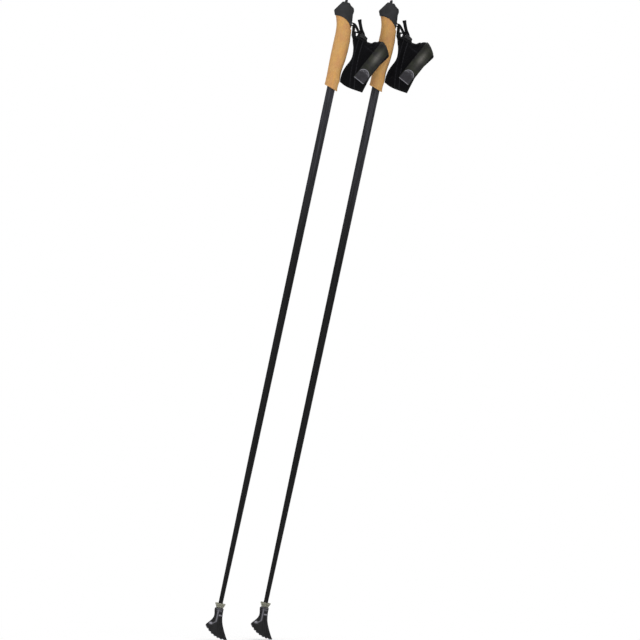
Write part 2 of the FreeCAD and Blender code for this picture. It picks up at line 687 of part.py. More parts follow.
def rubber_paw():
    """Rubber foot with a rocker sole and cross treads, pushed on the ferrule."""
    sections = [level_ellipse("paw_top_front", "paw_top_rear", "paw_top_rear", "paw_top_z")]
    for name in ("waist", "ankle", "heel", "ball", "floor"):
        sections.append(level_ellipse(f"paw_{name}_front", f"paw_{name}_rear", f"paw_{name}_depth", f"paw_{name}_z"))
    form = common(loft(sections), rod("rocker_x", "rocker_z", "rocker_radius", "tool_reach"))
    toe_room = box("toe_x", "toe_x + tool_reach", "tool_reach", "paw_floor_z - tool_reach", "paw_heel_z")
    bore = post("ferrule_radius + paw_fit", "ferrule_foot_z - paw_fit", "flange_foot_z")
    tip_room = post("tip_radius + tip_hole_gap", "washer_z", "ferrule_foot_z")
    washer_room = post("washer_radius", "washer_z", "washer_z + washer_thickness")
    treads = []
    for number in range(TREAD_COUNT):
        angle = f"(tread_first + {number} * tread_pitch)"
        treads.append(rod(f"rocker_x + rocker_radius * sin{angle}", f"rocker_z - rocker_radius * cos{angle}",
                          "tread_radius", "tool_reach"))
    return cut(form, fuse(toe_room, bore, tip_room, washer_room, *treads))


def paw_washer():
    """Steel disc moulded in the paw, under the tip."""
    return turned("paw_washer", [
        ("0", "washer_z"),
        ("washer_radius", "washer_z"),
        ("washer_radius", "washer_z + washer_thickness"),
        ("0", "washer_z + washer_thickness"),
    ])


# ---- the pair -------------------------------------------------------------------------

POLE_PIECES = (shaft, shaft_plug, tip_ferrule, tip_collar, carbide_tip, rubber_paw, paw_washer)
GRIP_PIECES = (
    grip_core, cork_grip, grip_head, strap_pin, strap_wedge, strap_anchor,
    strap_loop, strap_keeper, strap_buckle, strap_tail,
    glove_shell, glove_lining, wrist_band, loop_patch, hook_patch, closure_flap, closure_tab,
)

TOE_Z = "(rocker_z - sqrt(rocker_radius^2 - (toe_x - rocker_x)^2))"
LIFT = f"toe_x * sin(lean_angle) - {TOE_Z} * cos(lean_angle)"

nodes = []
for pole, side in POLES.items():
    shift_x = f"pair_shift_x + ({side} + 0.5) * pair_gap_x"
    shift_y = f"({side}) * pair_gap_y"
    for build_pieces, height in ((POLE_PIECES, "0"), (GRIP_PIECES, "grip_z")):
        for build_piece in build_pieces:
            piece = build_piece()
            piece.Label = f"{build_piece.__name__}_{pole}"
            across = f"{shift_x} + {height} * sin(lean_angle)"
            up = f"{LIFT} + {height} * cos(lean_angle)"
            locate(piece, across, shift_y, up, "0; 1; 0", "lean_angle")
            nodes.append(piece)

doc.recompute()

for thing in doc.Objects:
    for state in ("Invalid", "Error"):
        if state in thing.State:
            raise RuntimeError(f"{thing.Label} is {state}")

os.makedirs("parts", exist_ok=True)
for node in nodes:
    if node.Shape.isNull() or not node.Shape.isValid():
        raise RuntimeError(f"{node.Label} has no valid shape")
for node in nodes:
    node.Shape.exportStep(f"parts/{node.Label}.step")
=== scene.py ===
"""Dresses a pair of walking poles: carbon shafts, cork grips, strap gloves and rubber paws.

Lengths in this script are millimetres in a pole's own directions: z runs up along the shaft,
x points to the glove side and y across the pole. Grip, strap and glove are measured up from the
grip's foot, and the paw and collar from the foot of the pole. Angles are in radians unless a
name says degrees.
"""

import json
import math

import bmesh
import bpy
import numpy as np
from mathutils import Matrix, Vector


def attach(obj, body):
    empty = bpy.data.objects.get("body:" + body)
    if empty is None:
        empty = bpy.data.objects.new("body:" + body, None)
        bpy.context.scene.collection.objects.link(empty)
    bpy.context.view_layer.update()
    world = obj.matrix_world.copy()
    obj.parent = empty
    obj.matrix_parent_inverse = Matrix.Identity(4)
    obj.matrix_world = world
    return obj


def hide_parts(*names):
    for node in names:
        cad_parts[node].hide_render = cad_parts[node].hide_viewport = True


bl_info = {
    "name": "Walking pole pair",
    "version": (1, 0, 0),
    "blender": (4, 5, 0),
    "location": "3D View > Sidebar > Poles",
    "description": "Builds the visible surfaces and materials of a pair of walking poles",
    "category": "Object",
}

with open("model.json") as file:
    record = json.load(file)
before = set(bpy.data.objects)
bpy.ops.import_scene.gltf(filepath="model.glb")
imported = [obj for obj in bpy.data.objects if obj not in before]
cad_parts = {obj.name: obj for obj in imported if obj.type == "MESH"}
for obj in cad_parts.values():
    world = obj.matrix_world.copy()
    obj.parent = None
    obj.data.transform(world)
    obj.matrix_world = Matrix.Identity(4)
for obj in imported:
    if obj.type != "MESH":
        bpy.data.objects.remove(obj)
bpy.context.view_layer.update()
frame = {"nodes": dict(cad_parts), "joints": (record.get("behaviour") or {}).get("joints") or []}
JOINTS = {joint["name"]: joint for joint in frame["joints"]}

MM = 0.001
POLES = ("a", "b")

# strap pin in the grip, the play round it, and the grip's foot above the pole's foot
PIN_X, PIN_Z = 9.4, 125.2
PIN_RADIUS, PIN_PLAY = 1.5, 0.25
GRIP_Z = 1040.0

# radius of the cork's bore, and the bells along its height that make it fuller or slimmer on the
# glove side: how much, at which height and how wide
CORK_BORE = 9.35
CORK_BELLS = ((2.8, 19, 13), (0.9, 114, 6), (-0.9, 74, 16))
CORK_FRONT = 1.0

# sleeve of the glove: x, top, bottom and half depth
SLEEVE = (
    (10.0, 111.4, 18.0, 13.0),
    (25.0, 106.6, 11.4, 15.6),
    (40.0, 102.6, 8.2, 17.2),
    (56.0, 100.2, 6.4, 18.0),
    (73.0, 105.2, 5.0, 18.0),
    (84.0, 96.4, 5.0, 17.2),
    (93.0, 81.0, 5.0, 16.4),
)
SHELL_THICKNESS = 2.4
LINING_THICKNESS = 1.2
LAYER_GAP = 0.05

# edges of the glove: height and x
MOUTH_EDGE = ((-20.0, 14.4), (16.0, 14.2), (30.0, 14.6), (48.5, 20.4), (59.0, 25.4), (70.0, 27.2),
              (80.0, 26.4), (93.0, 23.3), (111.0, 17.6), (125.0, 15.0))
CUFF_EDGE = ((-10.0, 54.0), (6.0, 56.4), (37.0, 64.6), (62.0, 77.0), (81.5, 91.2), (100.0, 92.0))

# wrist band: a point on its middle line, its direction and its size
BAND_X, BAND_Z = 46.6, 25.6
BAND_ANGLE = math.radians(63.2)
BAND_HALF_WIDTH = 11.8
BAND_THICKNESS = 1.4
BAND_STOP = math.pi - 0.3

# places along the band's line: one inside the sleeve and one beyond each side of it, between
# which the sleeve's own edges are found in this many halvings
BAND_MIDDLE, BAND_BEYOND_TOP, BAND_BEYOND_BOTTOM = 35.0, 130.0, -60.0
HALVINGS = 40

# closure flap: its length, how far the band runs on under its upper end, its height above the
# glove, and the places of the patches and the tab on it
FLAP_LENGTH = 56.0
BAND_OVERLAP = 9.0
FLAP_FOOT = 2.1
PATCH_START, PATCH_LENGTH, PATCH_HALF_WIDTH, PATCH_THICKNESS = 3.0, 22.0, 9.0, 0.7
HOOK_FOOT = 1.35
TAB_LENGTH, TAB_HALF_WIDTH, TAB_THICKNESS = 25.0, 10.6, 1.6

# painted highlight on the band: where along it the painted sheen is strongest, and its reach; and where the
# glove's front seam comes nearest to the pole
PAINTED_SHEEN_AT, PAINTED_SHEEN_REACH = 53.0, 12.0
SEAM_X, SEAM_Z = 36.0, 62.0

# webbing: its way from the buckle up to the pin and from the pin down to the glove, in x and z,
# and how far each strand is turned
STRAP_WIDTH = 10.0
STRAP_THICKNESS = 2.6
STRAP_UP = ((32.0, 111.0), (27.6, 115.0), (23.8, 119.6), (19.8, 124.2), (15.0, 127.2))
STRAP_DOWN = ((12.6, 123.0), (15.6, 123.0), (17.5, 119.4), (18.2, 114.4), (18.9, 108.0))
STRAP_TWIST_UP, STRAP_TWIST_DOWN = math.radians(19), math.radians(-26)
KEEPER_X, KEEPER_ENDS_Z, KEEPER_MIDDLE_Z = 23.7, 112.4, 112.6
KEEPER_HALF_LENGTH, KEEPER_WIDTH, KEEPER_THICKNESS = 5.6, 8.4, 2.6

# loose end of the webbing: its root in x and z, direction, size and hem
TAIL_ROOT = (37.4, 108.4)
TAIL_ANGLE = math.radians(114.2)
TAIL_LENGTH = 31.0
TAIL_THICKNESS = 1.7
TAIL_SEAM = TAIL_LENGTH - 3.9

# buckle's underside, and the yoke below it: where it starts and ends, its crest, the depth of the
# eye behind the keeper, the rise after it, and its half width with what the crest is narrower
BUCKLE_HEEL = (46.4, 101.4)
BUCKLE_SLOPE = 0.29
YOKE_START, YOKE_END = 16.7, 49.6
YOKE_CREST, YOKE_EYE_DEPTH, YOKE_EYE_RISE = 112.6, 6.4, 5.4
YOKE_FOOT, YOKE_MIDDLE = 5.0, 3.0
YOKE_HALF_WIDTH, YOKE_NARROWER = 8.0, 1.6

# collar: radius and height round its lathe profile, its number of flutes and their depth
COLLAR_PROFILE = ((4.12, 63.7), (6.5, 63.7), (6.8, 65.2), (7.9, 67.6), (9.1, 70.2), (9.4, 71.4),
                  (9.4, 72.6), (9.1, 73.1), (8.6, 73.1), (8.3, 72.4), (8.1, 71.0), (7.0, 69.2),
                  (5.8, 67.5), (4.12, 67.3))
COLLAR_FLUTES, COLLAR_FLUTE_DEPTH, COLLAR_FLUTED_FROM = 12, 0.012, 6.9

# fabric of the glove in the cloth simulation
CLOTH = {
    "use_pressure": True,
    "quality": 6,
    "mass": 0.2,
    "bending_stiffness": 2.0,
    "tension_stiffness": 12.0,
    "compression_stiffness": 6.0,
    "shrink_min": -0.05,
}

# sole of the paw: middle of its rocker arc in x and z
SOLE_X, SOLE_Z = 20.6, 56.7

# stage: lamps by place, size and power, and the floor's fade to white with the distance in metres
LAMP_TARGET = (0.0, 0.0, 0.6)
LAMPS = {
    "key": ((1.0, -4.2, 2.3), 2.2, 85.0),
    "fill": ((-2.8, -2.4, 1.4), 2.4, 34.0),
    "top": ((0.3, 1.0, 3.4), 2.4, 60.0),
}
FADE_START, FADE_END, FADE_LEAST, FADE_MOST = 0.15, 0.9, 0.45, 1.0
FLOOR_REACH = 6.0
WHITE = (1, 1, 1, 1)


class Pole:
    """One pole's own directions and the two heights that its pieces are measured from."""

    def __init__(self, name):
        self.name = name
        self.up = Vector(JOINTS[f"wedge_lift_{name}"]["axis"]).normalized()
        self.across = Vector((0, 1, 0))
        self.out = self.across.cross(self.up)
        pin = Vector(JOINTS[f"strap_swing_{name}"]["pos_m"])
        self.grip = pin - (self.out * PIN_X + self.up * PIN_Z) * MM
        self.foot = self.grip - self.up * GRIP_Z * MM

    def place(self, points, start="grip"):
        """Points in millimetres, as metres in the row's frame."""
        origin = np.array(getattr(self, start))
        axes = np.array((self.out, self.across, self.up))
        return origin + (np.asarray(points, float) @ axes) * MM

    def local(self, points, start="grip"):
        """Points in the row's frame, as millimetres in the pole's own directions."""
        origin = np.array(getattr(self, start))
        axes = np.array((self.out, self.across, self.up))
        return ((np.asarray(points, float) - origin) @ axes.T) / MM


POLE = {name: Pole(name) for name in POLES}
LEAN = math.atan2(POLE["a"].up.x, POLE["a"].up.z)


# ---- curves and grids -----------------------------------------------------------------


def spline(knots, values, where):
    """Natural cubic through the values at the knots, going on in a straight line outside them."""
    knots = np.asarray(knots, float)
    values = np.asarray(values, float)
    where = np.asarray(where, float)
    step = np.diff(knots)
    slope = np.diff(values) / step
    count = len(knots)
    matrix = np.eye(count)
    right = np.zeros(count)
    for row in range(1, count - 1):
        matrix[row, row - 1:row + 2] = step[row - 1], 2 * (step[row - 1] + step[row]), step[row]
        right[row] = 6 * (slope[row] - slope[row - 1])
    bend = np.linalg.solve(matrix, right)
    inside = np.clip(where, knots[0], knots[-1])
    span = np.clip(np.searchsorted(knots, inside) - 1, 0, count - 2)
    part = inside - knots[span]
    first = slope[span] - step[span] * (2 * bend[span] + bend[span + 1]) / 6
    result = values[span] + part * (first + part * (bend[span] / 2 + part * (bend[span + 1] - bend[span])
                                                   / (6 * step[span])))
    start_slope = slope[0] - step[0] * bend[1] / 6
    end_slope = slope[-1] + step[-1] * bend[-2] / 6
    result = result + np.minimum(where - knots[0], 0) * start_slope
    return result + np.maximum(where - knots[-1], 0) * end_slope


def path_through(points, count):
    """A smooth path through points, evenly spaced along the runs between them."""
    points = np.asarray(points, float)
    runs = np.linalg.norm(np.diff(points, axis=0), axis=1)
    knots = np.concatenate(([0.0], np.cumsum(runs)))
    where = np.linspace(0, knots[-1], count)
    return np.stack([spline(knots, column, where) for column in points.T], axis=-1)


def smooth_step(low, high, value):
    """0 below low, 1 above high, and an easy rise between."""
    part = np.clip((value - low) / (high - low), 0, 1)
    return part * part * (3 - 2 * part)


def bell(value, middle, width):
    """1 at the middle, falling off evenly on both sides as a bell curve."""
    return np.exp(-((value - middle) / width) ** 2)


def rounded(angle, power):
    """Sine of an angle pushed towards plus or minus 1, for the sides of a rounded rectangle."""
    wave = np.sin(angle)
    return np.sign(wave) * np.abs(wave) ** (2 / power)


def strap_profile(points, power):
    """Offsets across and through a flat strap with rounded edges, each from -1 to 1."""
    angle = np.linspace(0, 2 * np.pi, points, endpoint=False)
    return rounded(angle + np.pi / 2, power), rounded(angle, power)


def ring_mesh(name, rings, closed=False, marks=None):
    """A mesh from rings of points, each ring closed on itself.

    rings has shape (number of rings, points in a ring, 3), in metres. The rings join into a loop
    if closed, and otherwise the end rings are filled round their middles. The map UV holds
    metres round the ring and along the rings.
    """
    rings = np.asarray(rings, float)
    count, around = rings.shape[:2]
    points = rings.reshape(-1, 3)
    row = np.arange(count if closed else count - 1)[:, None]
    column = np.arange(around)[None, :]
    next_row = (row + 1) % count
    next_column = (column + 1) % around
    quads = np.stack([row * around + column, row * around + next_column,
                      next_row * around + next_column, next_row * around + column], axis=-1).reshape(-1, 4)
    round_length = np.linalg.norm(rings - np.roll(rings, -1, axis=1), axis=2).mean(axis=0)
    round_at = np.concatenate(([0.0], np.cumsum(round_length)))
    along_length = np.linalg.norm(rings - np.roll(rings, -1, axis=0), axis=2).mean(axis=1)
    along_at = np.concatenate(([0.0], np.cumsum(along_length)))
    u = np.stack(np.broadcast_arrays(round_at[column], round_at[column + 1],
                                     round_at[column + 1], round_at[column]), axis=-1)
    v = np.stack(np.broadcast_arrays(along_at[row], along_at[row],
                                     along_at[row + 1], along_at[row + 1]), axis=-1)
    u = np.broadcast_to(u, (len(row), around, 4)).reshape(-1)
    v = np.broadcast_to(v, (len(row), around, 4)).reshape(-1)
    faces = quads.tolist()
    if not closed:
        middles = np.stack([rings[0].mean(axis=0), rings[-1].mean(axis=0)])
        points = np.concatenate([points, middles])
        first, last = count * around, count * around + 1
        base = (count - 1) * around
        for index in range(around):
            after = (index + 1) % around
            faces.append((after, index, first))
            faces.append((base + index, base + after, last))
        spread = np.full(6 * around, round_at[-1] / 2)
        u = np.concatenate([u, spread])
        end_at = along_at[count - 1]
        v = np.concatenate([v, np.tile([0, 0, 0, end_at, end_at, end_at], around)])
    mesh = bpy.data.meshes.new(name)
    mesh.from_pydata(points.tolist(), [], faces)
    layer = mesh.uv_layers.new(name="UV")
    layer.data.foreach_set("uv", np.stack([u, v], axis=-1).astype(np.float32).reshape(-1))
    for mark, values in (marks or {}).items():
        flat = np.asarray(values, np.float32).reshape(-1)
        flat = np.concatenate([flat, np.zeros(len(points) - len(flat), np.float32)])
        mesh.attributes.new(mark, "FLOAT", "POINT").data.foreach_set("value", flat)
    mesh.validate()
    outward(mesh)
    return mesh


def outward(mesh):
    """Turn every face outwards and shade it smooth, with edges kept at sharp corners."""
    work = bmesh.new()
    work.from_mesh(mesh)
    bmesh.ops.recalc_face_normals(work, faces=work.faces)
    work.to_mesh(mesh)
    work.free()
    mesh.polygons.foreach_set("use_smooth", np.ones(len(mesh.polygons), bool))
    mesh.set_sharp_from_angle(angle=math.radians(50))
    mesh.update()


def add_piece(pole, mesh, body, finish, node="", rounding=0):
    """An object for a mesh, riding on one of the pole's bodies and standing for a CAD node.

    The finish is a key of MATERIALS.
    """
    piece = bpy.data.objects.new(mesh.name, mesh)
    bpy.context.scene.collection.objects.link(piece)
    mesh.materials.append(MATERIALS[finish])
    if rounding:
        finer = piece.modifiers.new("finer", "SUBSURF")
        finer.levels = rounding
        finer.render_levels = rounding
    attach(piece, f"{body}_{pole.name}")
    if node:
        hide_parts(f"{node}_{pole.name}")
    return piece


def softened(node, name, grain, passes, swell=None):
    """The closed form of a CAD node with its edges eased, as a new mesh.

    The node's surface is merged, moved by the steps that a swell function gives for its
    points, laid out again on an even grid of the given grain in millimetres, and then
    smoothed in a number of passes.
    """
    work = bmesh.new()
    work.from_mesh(frame["nodes"][node].data)
    bmesh.ops.remove_doubles(work, verts=work.verts, dist=0.01 * MM)
    mesh = bpy.data.meshes.new(name)
    work.to_mesh(mesh)
    work.free()
    if swell:
        shift(mesh, swell(vertices(mesh)))
    holder = bpy.data.objects.new(name, mesh)
    bpy.context.scene.collection.objects.link(holder)
    remesh = holder.modifiers.new("even", "REMESH")
    remesh.mode = "VOXEL"
    remesh.voxel_size = grain * MM
    smooth = holder.modifiers.new("ease", "SMOOTH")
    smooth.factor = 0.5
    smooth.iterations = passes
    seen = holder.evaluated_get(bpy.context.evaluated_depsgraph_get())
    result = bpy.data.meshes.new_from_object(seen)
    result.name = name
    bpy.data.objects.remove(holder)
    bpy.data.meshes.remove(mesh)
    result.materials.clear()
    return result


def vertices(mesh):
    """The mesh's vertices as an array."""
    flat = np.empty(len(mesh.vertices) * 3, np.float32)
    mesh.vertices.foreach_get("co", flat)
    return flat.reshape(-1, 3).astype(float)


def push(mesh, height):
    """Move each vertex outwards along its normal by a height in millimetres."""
    flat = np.empty(len(mesh.vertices) * 3, np.float32)
    mesh.vertex_normals.foreach_get("vector", flat)
    normals = flat.reshape(-1, 3)
    moved = vertices(mesh) + normals * (np.asarray(height) * MM)[:, None]
    mesh.vertices.foreach_set("co", moved.astype(np.float32).reshape(-1))
    outward(mesh)


def shift(mesh, move):
    """Move a mesh's points by the given steps, in metres."""
    points = vertices(mesh) + move
    mesh.vertices.foreach_set("co", points.astype(np.float32).reshape(-1))
    mesh.update()


def ripples(points, seed, scale):
    """A smooth random field between about -1 and 1: a sum of sine waves in seeded directions."""
    random = np.random.default_rng(seed)
    total = np.zeros(len(points))
    for _ in range(14):
        direction = random.normal(size=3)
        direction *= random.uniform(0.6, 1.5) / scale / np.linalg.norm(direction)
        total += np.sin(points @ direction * 2 * np.pi + random.uniform(0, 2 * np.pi))
    return total / math.sqrt(14) / 1.2


# ---- materials ------------------------------------------------------------------------


class Value:
    """A shader value that can be used in plain arithmetic."""

    def __init__(self, nodes, socket):
        self.nodes = nodes
        self.socket = socket

    def maths(self, operation, *others):
        return self.nodes.node("ShaderNodeMath", {"operation": operation}, [self, *others])

    def __add__(self, other):
        return self.maths("ADD", other)

    def __mul__(self, other):
        return self.maths("MULTIPLY", other)

    def __radd__(self, other):
        return self + other

    def __rsub__(self, other):
        return self * -1 + other

    def __rmul__(self, other):
        return self * other

    def between(self, low, high, least=0.0, most=1.0):
        """The least value below low, the most above high, and an easy rise between."""
        return self.nodes.node("ShaderNodeMapRange", {"interpolation_type": "SMOOTHSTEP"},
                               {"Value": self, "From Min": low, "From Max": high,
                                "To Min": least, "To Max": most})

    def sine(self):
        return self.maths("SINE")


class Nodes:
    """A node tree, with one way of adding a node to it."""

    def __init__(self, tree):
        self.tree = tree

    def node(self, kind, settings=None, inputs=None, output=0):
        """A node with its settings made first and its inputs joined or filled."""
        node = self.tree.nodes.new(kind)
        for label, setting in (settings or {}).items():
            setattr(node, label, setting)
        pairs = inputs.items() if isinstance(inputs, dict) else enumerate(inputs or [])
        for label, given in pairs:
            if isinstance(given, Value):
                self.tree.links.new(given.socket, node.inputs[label])
            else:
                node.inputs[label].default_value = given
        return Value(self, node.outputs[output]) if node.outputs else None


class Finish(Nodes):
    """A procedural material on one Principled shader, with its coordinates and patterns."""

    def __init__(self, name, roughness, **constants):
        self.material = bpy.data.materials.new(name)
        self.material.use_nodes = True
        super().__init__(self.material.node_tree)
        self.shader = self.tree.nodes["Principled BSDF"]
        self.shader.inputs["Roughness"].default_value = roughness
        for label, number in constants.items():
            self.shader.inputs[label.replace("_", " ")].default_value = number

    def pole_space(self, stretch=(1, 1, 1)):
        """Coordinates in millimetres with z along the pole, stretched per axis."""
        raw = self.node("ShaderNodeTexCoord", output="Object")
        turned = self.node("ShaderNodeVectorRotate", {"rotation_type": "Y_AXIS"},
                           {"Vector": raw, "Angle": -LEAN})
        scale = [1 / MM / length for length in stretch]
        return self.node("ShaderNodeVectorMath", {"operation": "MULTIPLY"}, [turned, scale])

    def cloth_space(self):
        """Millimetres round and along a strap, from its own map."""
        raw = self.node("ShaderNodeUVMap", {"uv_map": "UV"})
        return self.node("ShaderNodeVectorMath", {"operation": "MULTIPLY"}, [raw, (1 / MM, 1 / MM, 1)])

    def axis(self, space, label):
        """One coordinate of a space."""
        return self.node("ShaderNodeSeparateXYZ", None, [space], output=label)

    def mark(self, name):
        """A value kept on the mesh's points."""
        return self.node("ShaderNodeAttribute", {"attribute_name": name}, output="Fac")

    def noise(self, space, scale, detail=3.0, rough=0.55):
        """Noise from about 0 to 1, with features of the given size in the space's units."""
        return self.node("ShaderNodeTexNoise", None,
                         {"Vector": space, "Scale": 1 / scale, "Detail": detail, "Roughness": rough})

    def cells(self, space, size, feature="F1", output="Distance"):
        """Voronoi cells of the given size."""
        return self.node("ShaderNodeTexVoronoi", {"feature": feature},
                         {"Vector": space, "Scale": 1 / size}, output)

    def mix(self, factor, first, second):
        """A colour between two colours."""
        return self.node("ShaderNodeMix", {"data_type": "RGBA"}, {0: factor, 6: first, 7: second}, output=2)

    def colour(self, value):
        self.tree.links.new(value.socket, self.shader.inputs["Base Color"])

    def rough(self, value):
        self.tree.links.new(value.socket, self.shader.inputs["Roughness"])

    def relief(self, height, depth):
        """Bump from a height of 0 to 1, with its depth in millimetres."""
        bump = self.node("ShaderNodeBump", None, {"Height": height, "Distance": depth * MM, "Strength": 1.0})
        self.tree.links.new(bump.socket, self.shader.inputs["Normal"])


def tone(red, green, blue):
    """A colour from sRGB numbers of 0 to 255."""
    linear = [(part / 255 / 12.92) if part <= 10 else ((part / 255 + 0.055) / 1.055) ** 2.4
              for part in (red, green, blue)]
    return (*linear, 1.0)


def cork_finish():
    """Pressed natural cork: pale grains with dark joints, warm patches and small pits."""
    finish = Finish("cork", 0.78, Sheen_Weight=0.06, Specular_IOR_Level=0.3)
    space = finish.pole_space()
    wander = finish.node("ShaderNodeTexNoise", None, {"Vector": space, "Scale": 0.45}, output="Color")
    wavy = finish.node("ShaderNodeVectorMath", {"operation": "MULTIPLY_ADD"},
                       [wander, (1.6, 1.6, 1.6), space])
    grain_size = 1.7
    grain = finish.cells(wavy, grain_size, output="Color")
    grain_tone = finish.axis(grain, "X")
    joint = finish.cells(wavy, grain_size, feature="DISTANCE_TO_EDGE")
    speck = finish.noise(finish.pole_space((1, 1, 2.2)), 1.2, detail=5, rough=0.7)
    patch = finish.noise(space, 17.0, detail=2)
    long_patch = finish.noise(finish.pole_space((1, 1, 5.0)), 4.5, detail=3)
    base = finish.mix(patch.between(0.36, 0.66), tone(193, 151, 93), tone(190, 141, 90))
    base = finish.mix(long_patch.between(0.42, 0.68) * 0.6, base, tone(208, 156, 80))
    base = finish.mix(grain_tone.between(0.1, 0.95) * 0.22, base, tone(168, 122, 74))
    partly = finish.noise(space, 3.5, detail=2).between(0.42, 0.62)
    base = finish.mix((1 - joint.between(0.0, 0.14)) * partly * 0.26, base, tone(140, 96, 56))
    base = finish.mix(speck.between(0.61, 0.71) * 0.5, base, tone(120, 78, 42))
    finish.colour(base)
    finish.rough(grain_tone * 0.14 + 0.68)
    pits = 1 - speck.between(0.60, 0.72)
    finish.relief(pits * 0.6 + joint.between(0.0, 0.16) * 0.2 + finish.noise(space, 0.7) * 0.2, 0.18)
    return finish.material


def moulded_finish(name, dark, light, roughness, grain=0.5, depth=0.05):
    """Moulded plastic or rubber with a fine spark-eroded grain and uneven sheen."""
    finish = Finish(name, roughness, Specular_IOR_Level=0.22)
    space = finish.pole_space()
    broad = finish.noise(space, 11.0, detail=4)
    fine = finish.noise(space, grain, detail=2)
    finish.colour(finish.mix(broad.between(0.35, 0.7) * 0.7 + fine * 0.2, dark, light))
    finish.rough(broad * 0.22 + fine * 0.08 + (roughness - 0.14))
    finish.relief(fine * 0.8 + broad * 0.4, depth)
    return finish.material


def shaft_finish():
    """Carbon tube: paler, with grey streaks, below the grip and darker towards satin black down the pole."""
    finish = Finish("carbon_tube", 0.4, Specular_IOR_Level=0.10)
    streak = finish.noise(finish.pole_space((1.0, 1.0, 60.0)), 1.1, detail=4, rough=0.6)
    weave_space = finish.pole_space()
    height = finish.axis(weave_space, "Z")
    cross = finish.noise(finish.pole_space((14.0, 14.0, 0.7)), 1.0, detail=2)
    # paler towards the grip, darker further down the pole
    high = height.between(640.0, 1030.0)
    base = finish.mix(high, tone(13, 13, 13), tone(37, 37, 40))
    base = finish.mix(streak.between(0.42, 0.66) * (high * 0.55 + 0.05), base, tone(78, 78, 86))
    base = finish.mix(cross.between(0.55, 0.75) * (high * 0.25), base, tone(20, 20, 22))
    finish.colour(base)
    finish.rough(streak * 0.25 + 0.28)
    finish.relief(streak + cross * 0.3, 0.03)
    return finish.material


def webbing_finish(name="webbing", dark=(5, 5, 6), light=(25, 25, 27)):
    """Flat woven webbing: ribs across, a herringbone of yarns and a tighter edge."""
    finish = Finish(name, 0.72, Sheen_Weight=0.04, Sheen_Roughness=0.5, Specular_IOR_Level=0.12)
    space = finish.cloth_space()
    across = finish.axis(space, "X")
    along = finish.axis(space, "Y")
    zigzag = (across * 2.1).sine() * 0.5
    yarn = (along * 6.4 + zigzag).sine() * 0.5 + 0.5
    rib = (across * 5.2).sine() * 0.5 + 0.5
    fuzz = finish.noise(space, 0.35, detail=3)
    height = yarn * 0.55 + rib * 0.35 + fuzz * 0.25
    finish.colour(finish.mix(height.between(0.35, 1.0), tone(*dark), tone(*light)))
    finish.rough(fuzz * 0.2 + 0.62)
    finish.relief(height, 0.16)
    return finish.material


def knit_finish(name, dark, light, pitch, depth, sheen):
    """Fine knitted or mesh fabric: rows of small loops with uneven yarn."""
    finish = Finish(name, 0.82, Sheen_Weight=sheen, Sheen_Roughness=0.45, Specular_IOR_Level=0.06)
    space = finish.pole_space()
    x_row = (finish.axis(space, "X") * (2 * math.pi / pitch)).sine()
    z_row = (finish.axis(space, "Z") * (2 * math.pi / pitch)).sine()
    loops = x_row * z_row * 0.5 + 0.5
    broad = finish.noise(space, 14.0, detail=3)
    fuzz = finish.noise(space, 0.5, detail=2)
    base = finish.mix(loops * 0.45 + broad.between(0.4, 0.7) * 0.4 + fuzz * 0.2, tone(*dark), tone(*light))
    thread = finish.mark("stitch")
    finish.colour(finish.mix(thread, base, tone(45, 45, 49)))
    finish.rough(broad * 0.2 + 0.7)
    finish.relief(loops * 0.8 + fuzz * 0.4 + thread * 2.0, depth)
    return finish.material


def band_finish():
    """Satin elastic tape: fine ribs along it, a soft lengthwise painted highlight and an olive cast."""
    finish = Finish("band_fabric", 0.42, Sheen_Weight=0.02, Sheen_Roughness=0.35, Specular_IOR_Level=0.14)
    space = finish.cloth_space()
    rib = (finish.axis(space, "X") * 7.0).sine() * 0.5 + 0.5
    pick = (finish.axis(space, "Y") * 9.0).sine() * 0.5 + 0.5
    broad = finish.noise(finish.pole_space(), 16.0, detail=2)
    painted_sheen = finish.mark("painted_sheen")
    base = finish.mix(broad.between(0.35, 0.65), tone(14, 14, 16), tone(31, 34, 22))
    # painted highlight: the tape's sheen painted pale into its colour where the mark is high
    base = finish.mix(painted_sheen * (broad * 0.25 + 0.70), base, tone(104, 102, 98))
    base = finish.mix(rib * 0.12 + pick * 0.06, base, tone(60, 60, 56))
    finish.colour(base)
    finish.rough(broad * 0.18 + rib * 0.1 + 0.34)
    finish.relief(rib * 0.7 + pick * 0.3, 0.10)
    return finish.material


def hook_finish():
    """Hook and loop pile: dense curls with dark gaps."""
    finish = Finish("hook_and_loop", 0.9, Sheen_Weight=0.3, Specular_IOR_Level=0.2)
    space = finish.pole_space()
    curls = finish.cells(space, 0.55)
    fuzz = finish.noise(space, 0.3, detail=2)
    finish.colour(finish.mix(curls.between(0.1, 0.7), tone(48, 48, 50), tone(12, 12, 13)))
    finish.rough(fuzz * 0.15 + 0.8)
    finish.relief(1 - curls + fuzz * 0.3, 0.35)
    return finish.material


def tab_finish():
    """Soft moulded tab: slate grey, with a painted highlight as pale lines at its foot and round its tip."""
    finish = Finish("tab_rubber", 0.55, Specular_IOR_Level=0.25)
    space = finish.pole_space()
    rim = finish.mark("rim")
    broad = finish.noise(space, 6.0, detail=3)
    fine = finish.noise(space, 0.4, detail=2)
    base = finish.mix(broad.between(0.35, 0.65), tone(30, 29, 33), tone(42, 41, 46))
    # painted highlight: pale lines painted along the tab's foot and round its tip
    finish.colour(finish.mix(rim * (fine * 0.3 + 0.7), base, tone(146, 145, 152)))
    finish.rough(broad * 0.2 + fine * 0.1 + 0.4)
    finish.relief(fine + broad * 0.5, 0.05)
    return finish.material


def clear_finish():
    """Translucent smoky plastic, slightly clouded."""
    finish = Finish("clear_plastic", 0.28, Transmission_Weight=0.72, IOR=1.46, Specular_IOR_Level=0.5)
    space = finish.pole_space()
    cloud = finish.noise(space, 3.0, detail=3)
    finish.colour(finish.mix(cloud.between(0.3, 0.7), tone(186, 186, 168), tone(160, 160, 140)))
    finish.rough(cloud * 0.1 + 0.12)
    finish.relief(cloud, 0.02)
    return finish.material


